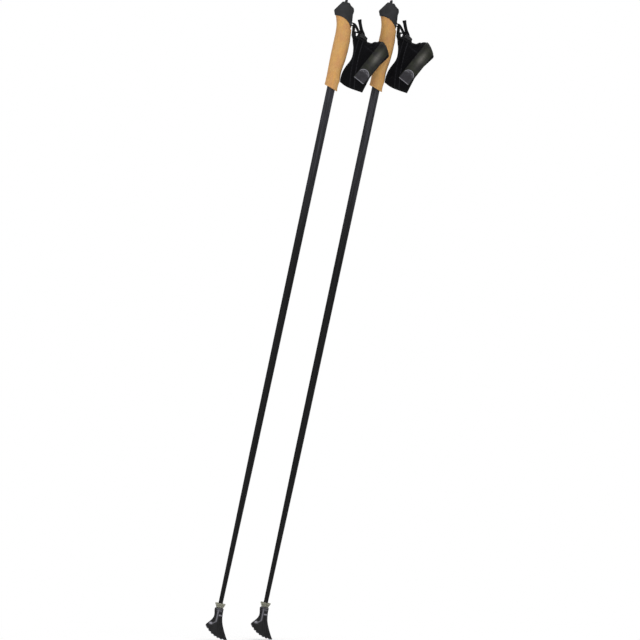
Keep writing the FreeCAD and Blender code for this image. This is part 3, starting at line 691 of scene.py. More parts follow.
def metal_finish(name, dark, light, roughness):
    """Drawn metal with fine scratches along the pole."""
    finish = Finish(name, roughness, Metallic=1.0)
    scratch = finish.noise(finish.pole_space((0.3, 0.3, 6.0)), 1.0, detail=3)
    finish.colour(finish.mix(scratch, tone(*dark), tone(*light)))
    finish.rough(scratch * 0.2 + (roughness - 0.1))
    finish.relief(scratch, 0.02)
    return finish.material


def paw_finish():
    """Matt black rubber, with a painted highlight on its ridges and paler colour at the sole."""
    finish = Finish("paw_rubber", 0.6, Specular_IOR_Level=0.22)
    space = finish.pole_space()
    painted_highlight_and_pale = finish.mark("painted_highlight_and_pale")
    broad = finish.noise(space, 7.0, detail=4)
    fine = finish.noise(space, 0.6, detail=3)
    base = finish.mix(broad.between(0.35, 0.7) * 0.8 + fine * 0.2, tone(9, 9, 10), tone(24, 24, 26))
    # painted highlight on the ridges, and paler colour at the sole, lip and ring, mixed in where the mark is
    # high
    finish.colour(finish.mix(painted_highlight_and_pale * (broad * 0.5 + 0.6), base, tone(138, 137, 145)))
    finish.rough(broad * 0.2 + fine * 0.15 + 0.45)
    finish.relief(fine * 0.7 + broad * 0.4, 0.09)
    return finish.material


def make_materials():
    """Every finish by its slot."""
    return {
        "cork": cork_finish(),
        "carbon": shaft_finish(),
        "dark_plastic": moulded_finish("dark_plastic", tone(10, 10, 11), tone(26, 26, 28), 0.45),
        "head_plastic": moulded_finish("head_plastic", tone(33, 33, 34), tone(47, 47, 49), 0.66, 0.7, 0.09),
        "steel": metal_finish("steel", (40, 40, 42), (66, 66, 70), 0.45),
        "carbide": metal_finish("carbide", (84, 84, 88), (128, 128, 132), 0.4),
        "webbing": webbing_finish(),
        "glove_fabric": knit_finish("glove_fabric", (3, 3, 4), (14, 14, 17), 1.1, 0.10, 0.02),
        "lining_fabric": knit_finish("lining_fabric", (9, 9, 10), (26, 26, 28), 1.6, 0.14, 0.08),
        "binding_fabric": webbing_finish("binding_fabric", (4, 4, 5), (17, 17, 19)),
        "band_fabric": band_finish(),
        "hook_and_loop": hook_finish(),
        "tab_rubber": tab_finish(),
        "clear_plastic": clear_finish(),
        "paw_rubber": paw_finish(),
    }


MATERIALS = {}


def repaint(node, slot):
    """Give a carried-over CAD node its finish."""
    piece = frame["nodes"][node]
    piece.data.materials.clear()
    piece.data.materials.append(MATERIALS[slot])


# ---- the glove's sleeve ---------------------------------------------------------------


def sleeve_section(x):
    """Middle height, half height and half depth of the sleeve at x."""
    table = np.array(SLEEVE)
    top, bottom, depth = (spline(table[:, 0], table[:, column], x) for column in (1, 2, 3))
    return (top + bottom) / 2, (top - bottom) / 2, depth


def sleeve_points(share, angle, offset):
    """Points of the sleeve grown by an offset.

    Share runs from 0 at the mouth's edge to 1 at the cuff's edge, and angle goes round the
    upright elliptical section. The place along x and the height depend on each other through
    the slanting edges, so they are settled in repeated half steps.
    """
    share, angle, offset = np.broadcast_arrays(np.asarray(share, float), angle, offset)
    mouth = np.array(MOUTH_EDGE)
    cuff = np.array(CUFF_EDGE)
    x = 20 + 50 * share
    for _ in range(HALVINGS):
        middle, half, depth = sleeve_section(x)
        z = middle + (half + offset) * np.sin(angle)
        start = spline(mouth[:, 0], mouth[:, 1], z)
        end = np.interp(z, cuff[:, 0], cuff[:, 1])
        x = (x + start + share * (end - start)) / 2
    middle, half, depth = sleeve_section(x)
    z = middle + (half + offset) * np.sin(angle)
    return np.stack([x, -(depth + offset) * np.cos(angle), z], axis=-1)


def band_place(along, across):
    """x and z of a point in the band's own directions."""
    x = BAND_X + along * math.cos(BAND_ANGLE) + across * math.sin(BAND_ANGLE)
    z = BAND_Z + along * math.sin(BAND_ANGLE) - across * math.cos(BAND_ANGLE)
    return x, z


def sleeve_depth(along, across, offset):
    """How far the grown sleeve reaches to each side at a point in the band's directions, squared."""
    x, z = band_place(along, across)
    middle, half, depth = sleeve_section(x)
    level = (z - middle) / (half + offset)
    return (1 - level * level) * (depth + offset) ** 2


def face_points(along, across, offset):
    """Points on the outward side of the grown sleeve, in the band's directions."""
    along, across, offset = np.broadcast_arrays(np.asarray(along, float), across, offset)
    x, z = band_place(along, across)
    y = -np.sqrt(np.maximum(sleeve_depth(along, across, offset), 0.01))
    return np.stack([x, y, z], axis=-1)


def sleeve_end(across, offset, start, reach):
    """Where the band's line leaves the grown sleeve, found by halving between start and reach."""
    inner = np.full(np.shape(across), float(start))
    outer = np.full(np.shape(across), float(reach))
    for _ in range(HALVINGS):
        middle = (inner + outer) / 2
        inside = sleeve_depth(middle, across, offset) > 0
        inner = np.where(inside, middle, inner)
        outer = np.where(inside, outer, middle)
    return inner


def band_lines(points):
    """How far points lie along the band's middle line and to the side of it."""
    x, z = points[..., 0] - BAND_X, points[..., 2] - BAND_Z
    along = x * math.cos(BAND_ANGLE) + z * math.sin(BAND_ANGLE)
    across = x * math.sin(BAND_ANGLE) - z * math.cos(BAND_ANGLE)
    return along, across


def band_painted_sheen(points):
    """Mark of the painted highlight on the tape, a soft sheen painted into its colour, from 0 to 1.

    Across the band a narrow bell stands on a broad one. Along the band it is a bell near the
    upper end, on a faint rise towards that end.
    """
    along, across = band_lines(points)
    streak = 0.75 * bell(across, 0.6, 2.6) + 0.25 * bell(across, 0.0, 7.5)
    return streak * (0.88 * bell(along, PAINTED_SHEEN_AT, PAINTED_SHEEN_REACH) + 0.12 * smooth_step(16.0, 30.0, along))


def loop_points(turn, across, offset):
    """Points round the grown sleeve in the band's plane, where turn is 0 at the top and pi at the bottom."""
    turn, across, offset = np.broadcast_arrays(np.asarray(turn, float), across, offset)
    top = sleeve_end(across, offset, BAND_MIDDLE, BAND_BEYOND_TOP)
    bottom = sleeve_end(across, offset, BAND_MIDDLE, BAND_BEYOND_BOTTOM)
    along = (top + bottom) / 2 + (top - bottom) / 2 * np.cos(turn)
    x, z = band_place(along, across)
    side = np.where(np.sin(turn) >= 0, 1.0, -1.0)
    y = side * np.sqrt(np.maximum(sleeve_depth(along, across, offset), 0.0))
    return np.stack([x, y, z], axis=-1)


def face_slab(start, length, half_width, foot, thickness, count=40, corner=0.3, tip=0.35, raised=0.0,
              sink=0.0, dip=0.0):
    """A flat piece lying on the glove's outward side.

    Rounded rectangles follow one another along the band's direction; they narrow elliptically
    within `corner` half widths of the start and `tip` half widths of the end. Their outer face
    may be raised near its border. The last stretch may sink on what lies below, and the stretch
    between the patch and the band may dip to the glove. It returns the points and a mark that
    is 1 on thin lines across the foot and round the tip, where the tab gets its painted highlight.
    """
    part = (1 - np.cos(np.linspace(0, np.pi, count))) / 2
    along = start + length * part
    past_start = along - start
    to_end = start + length - along
    from_start = np.clip(past_start / max(corner * half_width, 0.01), 0, 1)
    from_end = np.clip(to_end / max(tip * half_width, 0.01), 0, 1)
    bend = np.sqrt(np.maximum(1 - (1 - from_start) ** 2, 0.0))
    bend_end = np.sqrt(np.maximum(1 - (1 - from_end) ** 2, 0.0))
    width = half_width * (1 - corner * (1 - bend)) * (1 - tip * (1 - bend_end) if tip < 1 else bend_end)
    swell = np.minimum(np.clip(past_start / 0.8, 0.15, 1), np.clip(to_end / 0.8, 0.15, 1))
    side, through = strap_profile(44, 7.0)
    across = width[:, None] * side[None, :]
    end_border = np.maximum(1 - np.clip(to_end / 2.4, 0, 1), 1 - np.clip(past_start / 2.0, 0, 1))
    border = np.maximum(np.abs(side)[None, :] ** 6, end_border[:, None])
    outer = (through[None, :] > 0) * border
    past = np.maximum(along - start - length + half_width, 0.0)[:, None]
    reach = np.hypot(past, across) / half_width
    # lines that carry the tab's painted highlight: round the tip and across the foot
    tip_line = bell(reach, 0.93, 0.05) + 0.45 * bell(reach, 0.70, 0.05)
    foot_line = bell(past_start, 1.1, 0.45)[:, None] * (np.abs(side)[None, :] < 0.99)
    rim = np.maximum(tip_line * smooth_step(0.1, 4.5, past), foot_line)
    level = foot + thickness / 2 + thickness / 2 * through[None, :] * swell[:, None] + raised * outer
    level = level - sink * smooth_step(start + length - 12, start + length - 2, along)[:, None]
    patch_end, band_start = PATCH_START + PATCH_LENGTH, FLAP_LENGTH - BAND_OVERLAP
    past_patch = smooth_step(patch_end, patch_end + 6, along)
    before_band = 1 - smooth_step(band_start - 7, band_start - 1, along)
    level = level - dip * (past_patch * before_band)[:, None]
    return face_points(along[:, None], across, level), rim


def ribbon(path, width, thickness, twist=None, power=5.0, side=(0, 1, 0)):
    """Rings of a flat strap carried along a path: its width lies along `side`, turned by the twist."""
    path = np.asarray(path, float)
    tangent = np.gradient(path, axis=0)
    tangent /= np.linalg.norm(tangent, axis=1)[:, None]
    sideways = np.broadcast_to(np.asarray(side, float), path.shape)
    normal = np.cross(tangent, sideways)
    normal /= np.linalg.norm(normal, axis=1)[:, None]
    sideways = np.cross(normal, tangent)
    angle = np.zeros(len(path)) if twist is None else np.asarray(twist)
    turned_side = sideways * np.cos(angle)[:, None] + normal * np.sin(angle)[:, None]
    turned_normal = normal * np.cos(angle)[:, None] - sideways * np.sin(angle)[:, None]
    across, through = strap_profile(28, power)
    width = np.broadcast_to(np.asarray(width, float), len(path))
    thickness = np.broadcast_to(np.asarray(thickness, float), len(path))
    return (path[:, None, :] + turned_side[:, None, :] * (across[None, :, None] * width[:, None, None] / 2)
            + turned_normal[:, None, :] * (through[None, :, None] * thickness[:, None, None] / 2))


# ---- pieces ---------------------------------------------------------------------------


def dress_shaft(pole):
    """The tube keeps its exact form and gets its carbon finish; inner pieces get theirs."""
    for node, slot in (("shaft", "carbon"), ("shaft_plug", "dark_plastic"), ("grip_core", "dark_plastic"),
                       ("tip_ferrule", "dark_plastic"), ("carbide_tip", "carbide"), ("paw_washer", "steel"),
                       ("strap_pin", "steel"), ("strap_anchor", "webbing")):
        repaint(f"{node}_{pole.name}", slot)


def cork_swell(pole, points):
    """How far the cork's outer skin stands off its solid, in metres along the pole's own X.

    On the glove side two bell curves of the height make it fuller and a third one slimmer.
    The other side is evenly fuller up to the head. The bore stays where it is.
    """
    x, y, z = pole.local(points).T
    outside = smooth_step(CORK_BORE + 0.1, CORK_BORE + 0.4, np.hypot(x, y))
    fuller = sum(amount * bell(z, middle, width) for amount, middle, width in CORK_BELLS)
    swell = fuller * np.clip(x / 9, 0, 1)
    swell -= CORK_FRONT * (1 - smooth_step(85.0, 120.0, z)) * np.clip(-x / 9, 0, 1)
    return np.outer(swell * outside, pole.out) * MM


def dress_cork(pole):
    """Cork sleeve with eased edges and a surface that the hand and the press left uneven."""
    mesh = softened(f"cork_grip_{pole.name}", f"cork_{pole.name}", grain=0.62, passes=3,
                    swell=lambda points: cork_swell(pole, points))
    points = pole.local(vertices(mesh))
    outside = smooth_step(CORK_BORE + 0.15, CORK_BORE + 0.85, np.hypot(points[:, 0], points[:, 1]))
    uneven = ripples(points, 3, 9.0) * 0.10 + ripples(points, 4, 2.4) * 0.05
    push(mesh, uneven * outside)
    add_piece(pole, mesh, "pole", "cork", "cork_grip")


def dress_head(pole):
    """Moulded head with eased edges, and the wedge in its slot."""
    head = softened(f"grip_head_{pole.name}", f"head_{pole.name}", grain=0.55, passes=10)
    outward(head)
    add_piece(pole, head, "pole", "head_plastic", "grip_head")
    wedge = softened(f"strap_wedge_{pole.name}", f"wedge_{pole.name}", grain=0.3, passes=5)
    outward(wedge)
    add_piece(pole, wedge, "wedge", "head_plastic", "strap_wedge")


def dress_strap(pole):
    """Webbing from the buckle round the pin to the glove, each strand a little turned, and the keeper."""
    eye = PIN_RADIUS + PIN_PLAY + STRAP_THICKNESS / 2
    turn = np.radians((70, 120, 170, 220, 270))
    round_pin = [(PIN_X + eye * math.cos(angle), PIN_Z + eye * math.sin(angle)) for angle in turn]
    path = path_through([(x, 0.0, z) for x, z in (*STRAP_UP, *round_pin, *STRAP_DOWN)], 140)
    free = smooth_step(13.0, 18.0, path[:, 0])
    order = np.linspace(1, -1, len(path))
    twist = np.where(order > 0, STRAP_TWIST_UP, STRAP_TWIST_DOWN) * free
    rings = ribbon(path, STRAP_WIDTH, STRAP_THICKNESS - 0.3, twist)
    mesh = ring_mesh(f"strap_{pole.name}", pole.place(rings))
    add_piece(pole, mesh, "sling", "webbing", "strap_loop")
    keeper_path = path_through([(KEEPER_X, -KEEPER_HALF_LENGTH, KEEPER_ENDS_Z),
                                (KEEPER_X, 0.0, KEEPER_MIDDLE_Z),
                                (KEEPER_X, KEEPER_HALF_LENGTH, KEEPER_ENDS_Z)], 20)
    keeper = ribbon(keeper_path, KEEPER_WIDTH, KEEPER_THICKNESS, side=(1, 0, 0), power=4.0)
    mesh = ring_mesh(f"keeper_{pole.name}", pole.place(keeper))
    add_piece(pole, mesh, "sling", "webbing", "strap_keeper", rounding=1)


def dress_yoke(pole):
    """Webbing yoke sewn over the glove's ridge, from the strap's end to the buckle's heel.

    Each section is an upright superellipse across the pole. Its crest runs level under the
    keeper, dips to leave a small eye behind it and follows the buckle's underside.
    """
    x = np.linspace(YOKE_START, YOKE_END, 150)
    ridge_middle, ridge_half, _ = sleeve_section(x)
    ridge = ridge_middle + ridge_half
    crest = YOKE_CREST - YOKE_EYE_DEPTH * smooth_step(23.4, 24.8, x)
    crest += YOKE_EYE_RISE * smooth_step(26.4, 27.8, x)
    underside = BUCKLE_HEEL[1] + (BUCKLE_HEEL[0] - x) * BUCKLE_SLOPE
    crest = np.where(x < 31.0, crest, crest + (underside - crest) * smooth_step(31.0, 33.0, x))
    end = smooth_step(0.0, 2.2, x - x[0]) * smooth_step(0.0, 3.5, YOKE_END - x)
    foot = ridge - YOKE_FOOT
    crest = foot + np.maximum(crest - foot, 4.0) * (0.35 + 0.65 * end)
    middle = ridge - YOKE_MIDDLE
    angle = np.linspace(0, 2 * np.pi, 48, endpoint=False)[None, :]
    rise = rounded(angle, 2.4)
    height = np.where(rise > 0, (crest - middle)[:, None], (middle - foot)[:, None])
    width = (YOKE_HALF_WIDTH - YOKE_NARROWER * np.maximum(rise, 0) ** 2) * (0.4 + 0.6 * end[:, None])
    rings = np.stack(np.broadcast_arrays(x[:, None], rounded(angle + np.pi / 2, 2.4) * width,
                                         middle[:, None] + rise * height), axis=-1)
    mesh = ring_mesh(f"yoke_{pole.name}", pole.place(rings))
    add_piece(pole, mesh, "sling", "webbing")


def dress_tail(pole):
    """Loose end of the webbing, turned more near the buckle, with a folded and stitched hem."""
    part = np.linspace(0, 1, 60)
    along = part * TAIL_LENGTH
    sway = 0.5 * np.sin(part * np.pi * 1.1)
    path = np.stack([TAIL_ROOT[0] + along * math.cos(TAIL_ANGLE) - sway * math.sin(TAIL_ANGLE),
                     np.zeros(60), TAIL_ROOT[1] + along * math.sin(TAIL_ANGLE) + sway * math.cos(TAIL_ANGLE)],
                    axis=-1)
    hem = smooth_step(TAIL_LENGTH - 5.0, TAIL_LENGTH - 3.6, along)
    seam = bell(along, TAIL_SEAM, 0.35)
    thickness = TAIL_THICKNESS * (1 + 0.9 * hem) - 0.5 * seam
    twist = np.radians(34 + 24 * (1 - smooth_step(3.0, 13.0, along)))
    rings = ribbon(path, STRAP_WIDTH - 0.4, thickness, twist)
    mesh = ring_mesh(f"tail_{pole.name}", pole.place(rings))
    add_piece(pole, mesh, "tail", "webbing", "strap_tail")


def dress_buckle(pole):
    """Ladder buckle with eased edges and grip ribs across its rear slope: a sine wave's upper halves."""
    mesh = softened(f"strap_buckle_{pole.name}", f"buckle_{pole.name}", grain=0.3, passes=4)
    points = pole.local(vertices(mesh))
    slope = (points[:, 0] - 34.0) * 0.8 - (points[:, 2] - 112.0) * 0.6
    upper = smooth_step(104.0, 106.0, points[:, 2])
    rib_height, rib_step = 0.28, 2.6
    push(mesh, rib_height * np.maximum(np.sin(slope * 2 * np.pi / rib_step), 0) * upper)
    add_piece(pole, mesh, "sling", "dark_plastic", "strap_buckle")


def relax_glove(points, hold):
    """Let the glove's fabric puff and settle under a little pressure, and keep to a small cap.

    points has shape (rows from mouth to cuff, points round, 3), in metres. The mesh is an open
    tube, pinned where hold is above a half; cloth pressure swells it, and the move is capped and
    scaled by 1 - hold.
    """
    settings = bpy.context.scene.pole_glove
    rows, around = points.shape[:2]
    row = np.arange(rows - 1)[:, None]
    column = np.arange(around)[None, :]
    after = (column + 1) % around
    quads = np.stack([row * around + column, row * around + after, (row + 1) * around + after,
                      (row + 1) * around + column], axis=-1).reshape(-1, 4)
    mesh = bpy.data.meshes.new("glove_cloth")
    mesh.from_pydata(points.reshape(-1, 3).tolist(), [], quads.tolist())
    cloth_piece = bpy.data.objects.new("glove_cloth", mesh)
    bpy.context.scene.collection.objects.link(cloth_piece)
    pinned = cloth_piece.vertex_groups.new(name="pinned")
    for index in np.nonzero(hold.reshape(-1) > 0.5)[0].tolist():
        pinned.add([index], 1.0, "REPLACE")
    cloth = cloth_piece.modifiers.new("cloth", "CLOTH")
    cloth.settings.vertex_group_mass = "pinned"
    for label, number in CLOTH.items():
        setattr(cloth.settings, label, number)
    cloth.settings.uniform_pressure_force = settings.pressure
    cloth.settings.effector_weights.gravity = 0.0
    cloth.collision_settings.use_collision = False
    cloth.point_cache.frame_start = 1
    cloth.point_cache.frame_end = settings.frames
    for number in range(1, settings.frames + 1):
        bpy.context.scene.frame_set(number)
    seen = cloth_piece.evaluated_get(bpy.context.evaluated_depsgraph_get())
    moved = vertices(seen.data).reshape(points.shape)
    bpy.context.scene.frame_set(1)
    bpy.data.objects.remove(cloth_piece)
    bpy.data.meshes.remove(mesh)
    move = moved - points
    length = np.linalg.norm(move, axis=2, keepdims=True)
    cap = settings.cap * MM
    move *= np.minimum(1, cap / np.maximum(length, 1e-9))
    return points + move * (1 - hold)[..., None]


def glove_layer(offset_outer, offset_inner, crease, rows=84, around=150):
    """Outer and inner grids of a glove layer, from mouth to cuff, in millimetres."""
    share = np.linspace(0, 1, rows)[:, None]
    angle = np.linspace(0, 2 * np.pi, around, endpoint=False)[None, :]
    middle = sleeve_points(share, angle, 0.0)
    fold = crease(middle)
    outer = sleeve_points(share, angle, offset_outer + fold)
    inner = sleeve_points(share, angle, offset_inner + fold)
    return outer, inner


def glove_creases(points):
    """Soft folds and seams of the glove as an offset in millimetres, never above the plain sleeve.

    Loose folds lie all over and fanned ones run down from the buckle. The front seam is a
    narrow groove with a soft ridge beside it. Under the band the fabric lies flat.
    """
    x, z = points[..., 0], points[..., 2]
    flat = points.reshape(-1, 3)
    loose = ripples(flat * (1.0, 0.7, 0.45), 11, 20.0).reshape(x.shape)
    radiating = np.sin((x - 31 - 0.22 * (z - 105)) * 2 * np.pi / 9.0) * smooth_step(70, 100, z) * 0.35
    away = x - seam_line(z)
    seam = -0.7 * bell(away, 0.0, 0.7) + 0.35 * bell(away, -5.5, 1.1)
    _, across = band_lines(points)
    free = 1 - smooth_step(-BAND_HALF_WIDTH - 7, -BAND_HALF_WIDTH - 1, across)
    return -0.55 * free + (loose * 0.5 + radiating + seam) * free


def seam_line(z):
    """Where the glove's front seam runs, as x at a height."""
    return SEAM_X + 0.0016 * (z - SEAM_Z) ** 2


def glove_stitch(points):
    """Mark of the thread: two rows of stitches beside the front seam and one under the thumb."""
    x, z = points[..., 0], points[..., 2]
    away = x - seam_line(z)
    dash = smooth_step(-0.5, 0.2, np.sin(z * 2 * np.pi / 2.8))
    rows = bell(away, 1.5, 0.55) + 0.7 * bell(away, -7.0, 0.55)
    thumb = bell(z + 0.5 * (x - 46.0), 90.0, 0.7) * smooth_step(42.0, 48.0, x)
    thumb = thumb * (1 - smooth_step(62.0, 68.0, x))
    return np.clip((rows + 0.6 * thumb) * (0.35 + 0.65 * dash), 0, 1)


def glove_hold(points):
    """Where the glove's cloth is held: 1 at the mouth and from the band on, 0 in the free palm."""
    rows = np.linspace(0, 1, points.shape[0])[:, None]
    edge = 1 - smooth_step(0.03, 0.16, rows) * np.ones(points.shape[:2])
    _, across = band_lines(points)
    band = smooth_step(-BAND_HALF_WIDTH - 8, -BAND_HALF_WIDTH - 2, across)
    return np.maximum(edge, band)


def shell_rings(outer, inner):
    """Closed section rings of a layer: out along the outer grid and back along the inner one."""
    start = (outer[:1] + inner[:1]) / 2
    end = (outer[-1:] + inner[-1:]) / 2
    start = start + (start - (outer[2:3] + inner[2:3]) / 2) * 0.2
    end = end + (end - (outer[-3:-2] + inner[-3:-2]) / 2) * 0.2
    loop = np.concatenate([outer, end, inner[::-1], start], axis=0)
    return np.swapaxes(loop, 0, 1)


def dress_glove(pole):
    """Padded shell of the glove, its lining, and bound edges at the mouth and the cuff."""
    outer, _ = glove_layer(0.0, -SHELL_THICKNESS, glove_creases)
    outer = pole.place(outer)
    hold = glove_hold(pole.local(outer))
    outer = relax_glove(outer, hold)
    outer = pole.local(outer)
    rows_step = np.gradient(outer, axis=0)
    around_step = np.roll(outer, -1, axis=1) - np.roll(outer, 1, axis=1)
    normal = np.cross(around_step, rows_step)
    normal /= np.maximum(np.linalg.norm(normal, axis=2, keepdims=True), 1e-9)
    middle = outer.mean(axis=1, keepdims=True)
    if np.sum(normal * (outer - middle)) < 0:
        normal = -normal
    inner = outer - normal * SHELL_THICKNESS
    rings = shell_rings(outer, inner)
    mesh = ring_mesh(f"glove_{pole.name}", pole.place(rings), closed=True,
                     marks={"stitch": glove_stitch(rings)})
    glove = add_piece(pole, mesh, "sling", "glove_fabric", "glove_shell")
    lining_outer = outer - normal * (SHELL_THICKNESS + LAYER_GAP)
    lining_inner = lining_outer - normal * LINING_THICKNESS
    mesh = ring_mesh(f"lining_{pole.name}", pole.place(shell_rings(lining_outer, lining_inner)), closed=True)
    lining = add_piece(pole, mesh, "sling", "lining_fabric", "glove_lining")
    for name, row in (("mouth", 0), ("cuff", -1)):
        centre = outer[row] - normal[row] * (SHELL_THICKNESS / 2 + 0.3)
        add_binding(pole, f"{name}_binding_{pole.name}", centre, normal[row])


def add_binding(pole, name, centre, outwards):
    """Folded tape round an edge of the glove: a flat oval section carried round the edge."""
    angle = np.linspace(0, 2 * np.pi, 20, endpoint=False)
    tangent = np.roll(centre, -1, axis=0) - np.roll(centre, 1, axis=0)
    tangent /= np.linalg.norm(tangent, axis=1)[:, None]
    sideways = np.cross(tangent, outwards)
    rings = (centre[:, None, :] + outwards[:, None, :] * (rounded(angle, 3.0) * 1.75)[None, :, None]
             + sideways[:, None, :] * (rounded(angle + np.pi / 2, 3.0) * 1.5)[None, :, None])
    mesh = ring_mesh(name, pole.place(rings), closed=True)
    add_piece(pole, mesh, "sling", "binding_fabric")


def dress_band(pole):
    """Elastic wrist band round the cuff, open on the outward side between its two ends.

    It starts under the flap's upper end, runs over the top and down the far side, and stops
    short of the lower edge. Its thickness swells up from both ends.
    """
    across, through = strap_profile(40, 6.0)
    bottom, top = (sleeve_end(np.zeros(1), BAND_THICKNESS / 2, BAND_MIDDLE, reach)[0]
                   for reach in (BAND_BEYOND_BOTTOM, BAND_BEYOND_TOP))
    start = -math.acos((FLAP_LENGTH - BAND_OVERLAP - (top + bottom) / 2) / ((top - bottom) / 2))
    turn = np.linspace(start, BAND_STOP, 260)
    swell = np.minimum(smooth_step(0.0, 0.03, turn - start), smooth_step(0.0, 0.05, BAND_STOP - turn))
    half = (BAND_THICKNESS / 2) * (0.2 + 0.8 * swell[:, None])
    level = LAYER_GAP + BAND_THICKNESS / 2 + through[None, :] * half
    rings = loop_points(turn[:, None], across[None, :] * BAND_HALF_WIDTH, level)
    # the mark carries the band's painted highlight
    mesh = ring_mesh(f"band_{pole.name}", pole.place(rings), marks={"painted_sheen": band_painted_sheen(rings)})
    add_piece(pole, mesh, "sling", "band_fabric", "wrist_band")


def dress_closure(pole):
    """Closure flap with its hook and loop patches and the moulded tab."""
    pieces = (
        ("flap", "flap", "band_fabric", "closure_flap",
         (0.0, FLAP_LENGTH, BAND_HALF_WIDTH, FLAP_FOOT, BAND_THICKNESS),
         {"count": 120, "corner": 0.05, "tip": 0.05, "sink": 0.55, "dip": 1.9}),
        ("loop_pile", "sling", "hook_and_loop", "loop_patch",
         (PATCH_START, PATCH_LENGTH, PATCH_HALF_WIDTH, LAYER_GAP, PATCH_THICKNESS), {}),
        ("hook_pile", "flap", "hook_and_loop", "hook_patch",
         (PATCH_START, PATCH_LENGTH, PATCH_HALF_WIDTH, HOOK_FOOT, PATCH_THICKNESS), {}),
        ("tab", "flap", "tab_rubber", "closure_tab",
         (0.0, TAB_LENGTH, TAB_HALF_WIDTH, FLAP_FOOT + BAND_THICKNESS + LAYER_GAP, TAB_THICKNESS - 0.4),
         {"count": 120, "corner": 0.12, "tip": 1.0, "raised": 0.4}),
    )
    for name, body, finish, node, sizes, shape in pieces:
        points, rim = face_slab(*sizes, **shape)
        # rim carries the tab's painted highlight, and the second mark the band's painted highlight on the
        # flap
        marks = {"rim": rim, "painted_sheen": band_painted_sheen(points)}
        mesh = ring_mesh(f"{name}_{pole.name}", pole.place(points), marks=marks)
        add_piece(pole, mesh, body, finish, node)


def dress_collar(pole):
    """Translucent funnel round the shaft's foot: a lathe profile with a rolled rim and faint flutes."""
    reach, height = np.array(COLLAR_PROFILE).T[:, None, :]
    angle = np.linspace(0, 2 * np.pi, 96, endpoint=False)[:, None]
    flute = 1 + COLLAR_FLUTE_DEPTH * np.cos(angle * COLLAR_FLUTES)
    radius = reach * np.where(reach > COLLAR_FLUTED_FROM, flute, 1.0)
    rings = np.stack([radius * np.cos(angle), radius * np.sin(angle),
                      np.broadcast_to(height, radius.shape)], axis=-1)
    mesh = ring_mesh(f"collar_{pole.name}", pole.place(rings, "foot"), closed=True)
    add_piece(pole, mesh, "pole", "clear_plastic", "tip_collar")


def dress_paw(pole):
    """Rubber paw with eased edges, a moulded ridge down each side, ribs on the front and a paler sole.

    The ridge bends back below its middle and ends in a patch at the heel. Ridge, patch, ribs and
    the cuff's edge stand out in relief. The mark is 1 where the rubber is painted pale: a painted
    highlight on the ridge, its patch and the cuff, and paler colour at the upper lip, a ring below it and the
    sole.
    """
    mesh = softened(f"rubber_paw_{pole.name}", f"paw_{pole.name}", grain=0.55, passes=4)
    points = pole.local(vertices(mesh), "foot")
    x, y, z = points.T
    side = smooth_step(2.0, 5.0, np.abs(y))
    ridge_at = -1.0 - 8.0 * smooth_step(40.0, 31.0, z)
    ridge = bell(x, ridge_at, 1.3) * smooth_step(30.0, 34.0, z) * smooth_step(62.5, 60.0, z)
    heel = bell(np.hypot((x + 10.0) / 3.0, (z - 34.0) / 1.8), 0.0, 1.0)
    front = smooth_step(1.5, 4.0, x) * smooth_step(49.0, 46.0, z) * smooth_step(14.0, 20.0, z)
    rib_lean, rib_step = 0.55 * 0.36, 3.4
    ribs = front * np.cos((x - rib_lean * (42.0 - z)) * 2 * np.pi / rib_step)
    cuff = bell(z, 51.0, 1.1) * smooth_step(0.5, 2.5, x) * (1 - smooth_step(7.5, 9.5, x))
    push(mesh, (0.75 * np.maximum(ridge, heel) + 0.3 * ribs) * side + 0.4 * cuff)
    sole = smooth_step(46.2, 48.2, np.hypot(x - SOLE_X, z - SOLE_Z))
    lip = smooth_step(61.4, 63.2, z)
    ring = bell(z + 0.02 * x ** 2, 59.5, 1.6) * (1 - smooth_step(3.0, 7.0, np.abs(x - 1.0)))
    # painted highlight on the ridge, its heel patch and the cuff's edge; the sole, the upper lip and a ring
    # below it are only paler
    on_sides = np.maximum(np.maximum(0.62 * ridge, 1.5 * heel), 1.1 * cuff) * side
    painted_highlight_and_pale = np.maximum(np.maximum(on_sides, 0.45 * sole), 0.4 * lip + 0.35 * ring * side)
    mesh.attributes.new("painted_highlight_and_pale", "FLOAT", "POINT").data.foreach_set("value", painted_highlight_and_pale.astype(np.float32))
    add_piece(pole, mesh, "paw", "paw_rubber", "rubber_paw")


# ---- stage ----------------------------------------------------------------------------


def aim(thing, place, target):
    """Put a lamp or camera at a place, looking at a target."""
    thing.location = place
    thing.rotation_euler = (Vector(target) - Vector(place)).to_track_quat("-Z", "Y").to_euler()


def add_lamp(name, place, target, size, power):
    """A square soft lamp."""
    lamp = bpy.data.lights.new(name, "AREA")
    lamp.size = size
    lamp.energy = power
    thing = bpy.data.objects.new(name, lamp)
    bpy.context.scene.collection.objects.link(thing)
    aim(thing, place, target)


def build_world():
    """A white room: white to the camera, softer as a light and in reflections."""
    world = bpy.data.worlds.new("room")
    bpy.context.scene.world = world
    world.use_nodes = True
    world.node_tree.nodes.clear()
    room = Nodes(world.node_tree)
    ambient = bpy.context.scene.pole_stage.ambient
    seen, light = (room.node("ShaderNodeBackground", None, {"Color": WHITE, "Strength": strength})
                   for strength in (1.0, ambient))
    to_camera = room.node("ShaderNodeLightPath", output="Is Camera Ray")
    mixed = room.node("ShaderNodeMixShader", None, [to_camera, light, seen])
    room.node("ShaderNodeOutputWorld", None, {"Surface": mixed})


